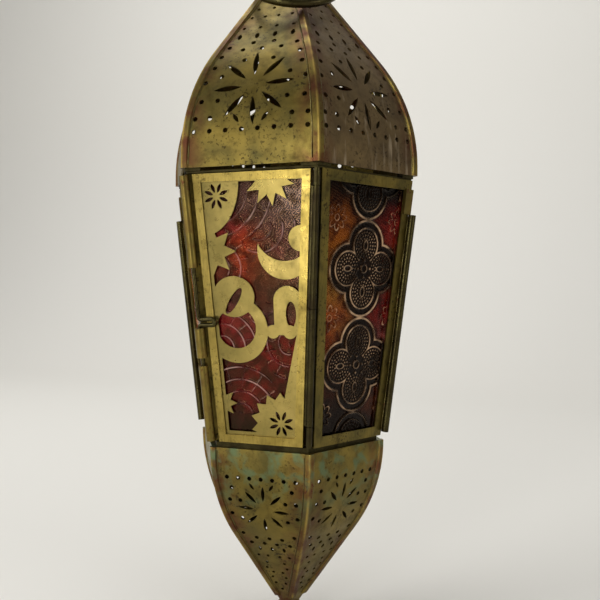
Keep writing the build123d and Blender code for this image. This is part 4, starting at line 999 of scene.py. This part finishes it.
class LANTERN_OT_seam_solder(bpy.types.Operator):
    """Run solder along both edges of the seam strips"""

    bl_idname = "lantern.seam_solder"
    bl_label = "Seam solder"

    def execute(self, context):
        tint = context.scene.lantern_colours
        mean = context.scene.lantern_sizes.seam_bead
        solder = aged_brass("Tin solder on brass", tint.solder, tint.olive, tint.copper, 0.3, 0.9)
        chance = random.Random(7)
        for name, sheet, off, ends, scale in (
            ("dome_seam_solder", DOME, 2.2, (1.5, DOME.length - 4.5), 1.0),
            ("bowl_seam_solder", BOWL, 1.9, (1.5, BOWL.length - 9.0), 0.8),
        ):
            beads = [
                solder_run(seam_spots(sheet, corner, side, off, ends, chance), mean * scale, chance)
                for corner in range(SIDES)
                for side in (-1, 1)
            ]
            settle(join(beads, name), "lantern", solder)
        runs = [solder_run(rod_spots(corner, chance), ROD_THICKER * mean, chance) for corner in PLAIN_CORNERS]
        settle(join(runs, "corner_rod_solder"), "lantern", solder)
        return {"FINISHED"}


# Pale sweep behind the lantern, in metres
SWEEP_SIZE = 6
SWEEP_GAP = 0.0005
SWEEP_BEND = 0.6
WALL_Y = 1.3
WALL_HEIGHT = 2.6

# Soft boxes: name, place, aim, width and height in metres, and watts
LANTERN_MIDDLE = (0, 0, -0.15)
SOFTBOXES = (
    ("key", (-1.2, -0.75, 0.35), LANTERN_MIDDLE, 0.9, 0.9, 11),
    ("fill", (1.3, -0.45, 0.1), LANTERN_MIDDLE, 0.7, 0.7, 3),
    ("top", (0.0, 0.1, 1.4), LANTERN_MIDDLE, 1.2, 1.2, 7),
    ("wall", (-0.4, 0.3, 0.9), (0, WALL_Y, 0), 0.8, 0.8, 5),
    ("strip", (-0.15, -0.78, -0.08), LANTERN_MIDDLE, 0.15, 0.5, 1.8),
)

# Camera: place in millimetres, and turn in degrees
EYE = (109.743, -317.996, EAVE_Z - 47.27)
EYE_TURN = (88.71, -0.14, 18.2232)


class LANTERN_OT_stage(bpy.types.Operator):
    """Set the pale sweep, the soft light and the camera"""

    bl_idname = "lantern.stage"
    bl_label = "Stage"

    def execute(self, context):
        scene = context.scene
        sizes = scene.lantern_sizes
        start()
        foot = CAD_BOX[0][2] - SWEEP_GAP
        bpy.ops.mesh.primitive_plane_add(size=SWEEP_SIZE, location=(0, 0, foot))
        sweep = context.object
        sweep.name = "studio_sweep"
        bpy.ops.object.transform_apply(location=True, rotation=True, scale=True)
        bpy.ops.object.mode_set(mode="EDIT")
        bpy.ops.mesh.select_all(action="DESELECT")
        bpy.ops.object.mode_set(mode="OBJECT")
        for vertex in sweep.data.vertices:
            vertex.co.y = vertex.co.y if vertex.co.y < 0 else WALL_Y
        for edge in sweep.data.edges:
            edge.select = all(sweep.data.vertices[v].co.y > 0 for v in edge.vertices)
        bpy.ops.object.mode_set(mode="EDIT")
        bpy.ops.mesh.select_mode(type="EDGE")
        bpy.ops.mesh.extrude_edges_move(TRANSFORM_OT_translate={"value": (0, 0, WALL_HEIGHT)})
        bpy.ops.object.mode_set(mode="OBJECT")
        for edge in sweep.data.edges:
            ends = [sweep.data.vertices[v].co for v in edge.vertices]
            edge.select = all(end.y > 0 and end.z < foot + WALL_HEIGHT / 2 for end in ends)
        bpy.ops.object.mode_set(mode="EDIT")
        bpy.ops.mesh.bevel(offset=SWEEP_BEND, segments=16)
        bpy.ops.object.mode_set(mode="OBJECT")
        bpy.ops.object.shade_smooth()

        paper = bpy.data.materials.new("Matt studio paper")
        paper.use_nodes = True
        tree = paper.node_tree
        tree.nodes.clear()
        place = add(tree, "ShaderNodeTexCoord", {}, {}).outputs["Object"]
        # Fibres show as a tooth of about 2.5 mm, coarser than real paper so that it shows
        fibre = add(tree, "ShaderNodeTexNoise", {}, {"Vector": place, "Scale": per(2.5), "Detail": 3})
        bump = add(
            tree, "ShaderNodeBump", {},
            {"Height": fibre.outputs["Fac"], "Strength": 0.1, "Distance": 0.3 * MM},
        )
        shader = add(
            tree, "ShaderNodeBsdfPrincipled", {},
            {"Base Color": scene.lantern_colours.floor, "Roughness": 0.9, "Normal": bump.outputs["Normal"]},
        )
        add(tree, "ShaderNodeOutputMaterial", {}, {"Surface": shader.outputs["BSDF"]})
        sweep.data.materials.append(paper)

        for name, spot, aim, width, height, power in SOFTBOXES:
            turn = (Vector(aim) - Vector(spot)).to_track_quat("-Z", "Y").to_euler()
            bpy.ops.object.light_add(type="AREA", location=spot, rotation=turn)
            lamp = context.object
            lamp.name = name + "_softbox"
            lamp.data.shape = "RECTANGLE"
            lamp.data.size = width
            lamp.data.size_y = height
            lamp.data.energy = power

        world = bpy.data.worlds.new("Soft studio")
        scene.world = world
        world.use_nodes = True
        world.node_tree.nodes.clear()
        glow = add(
            world.node_tree, "ShaderNodeBackground", {}, {"Color": scene.lantern_colours.air, "Strength": 0.3}
        )
        add(world.node_tree, "ShaderNodeOutputWorld", {}, {"Surface": glow.outputs["Background"]})

        turn = Euler([radians(angle) for angle in EYE_TURN])
        bpy.ops.object.camera_add(location=Vector(EYE) * MM, rotation=turn)
        camera = context.object
        camera.data.sensor_width = 36
        camera.data.lens = sizes.lens
        camera.data.clip_start = 0.01
        scene.camera = camera
        scene.view_settings.view_transform = "Standard"
        return {"FINISHED"}


class LANTERN_PT_panel(bpy.types.Panel):
    """Lists the steps and the values of the lantern"""

    bl_idname = "LANTERN_PT_panel"
    bl_label = "Lantern"
    bl_space_type = "VIEW_3D"
    bl_region_type = "UI"
    bl_category = "Lantern"

    def draw(self, context):
        for operator in OPERATORS:
            self.layout.operator(operator.bl_idname)
        for group in (context.scene.lantern_sizes, context.scene.lantern_colours):
            box = self.layout.box()
            for name in group.__annotations__:
                box.prop(group, name)


OPERATORS = (
    LANTERN_OT_stage,
    LANTERN_OT_pierced_sheets,
    LANTERN_OT_channel_frames,
    LANTERN_OT_door_fretwork,
    LANTERN_OT_corner_fittings,
    LANTERN_OT_crown_and_inside,
    LANTERN_OT_side_panes,
    LANTERN_OT_door_pane,
    LANTERN_OT_seam_solder,
)
CLASSES = (LanternSizes, LanternColours, *OPERATORS, LANTERN_PT_panel)


def register():
    for made in CLASSES:
        bpy.utils.register_class(made)
    bpy.types.Scene.lantern_sizes = bpy.props.PointerProperty(type=LanternSizes)
    bpy.types.Scene.lantern_colours = bpy.props.PointerProperty(type=LanternColours)


def unregister():
    del bpy.types.Scene.lantern_colours
    del bpy.types.Scene.lantern_sizes
    for made in reversed(CLASSES):
        bpy.utils.unregister_class(made)


def main():
    register()
    bpy.ops.lantern.stage()
    bpy.ops.lantern.pierced_sheets()
    bpy.ops.lantern.channel_frames()
    bpy.ops.lantern.door_fretwork()
    bpy.ops.lantern.corner_fittings()
    bpy.ops.lantern.crown_and_inside()
    bpy.ops.lantern.side_panes()
    bpy.ops.lantern.door_pane()
    bpy.ops.lantern.seam_solder()


if __name__ == "__main__":
    main()
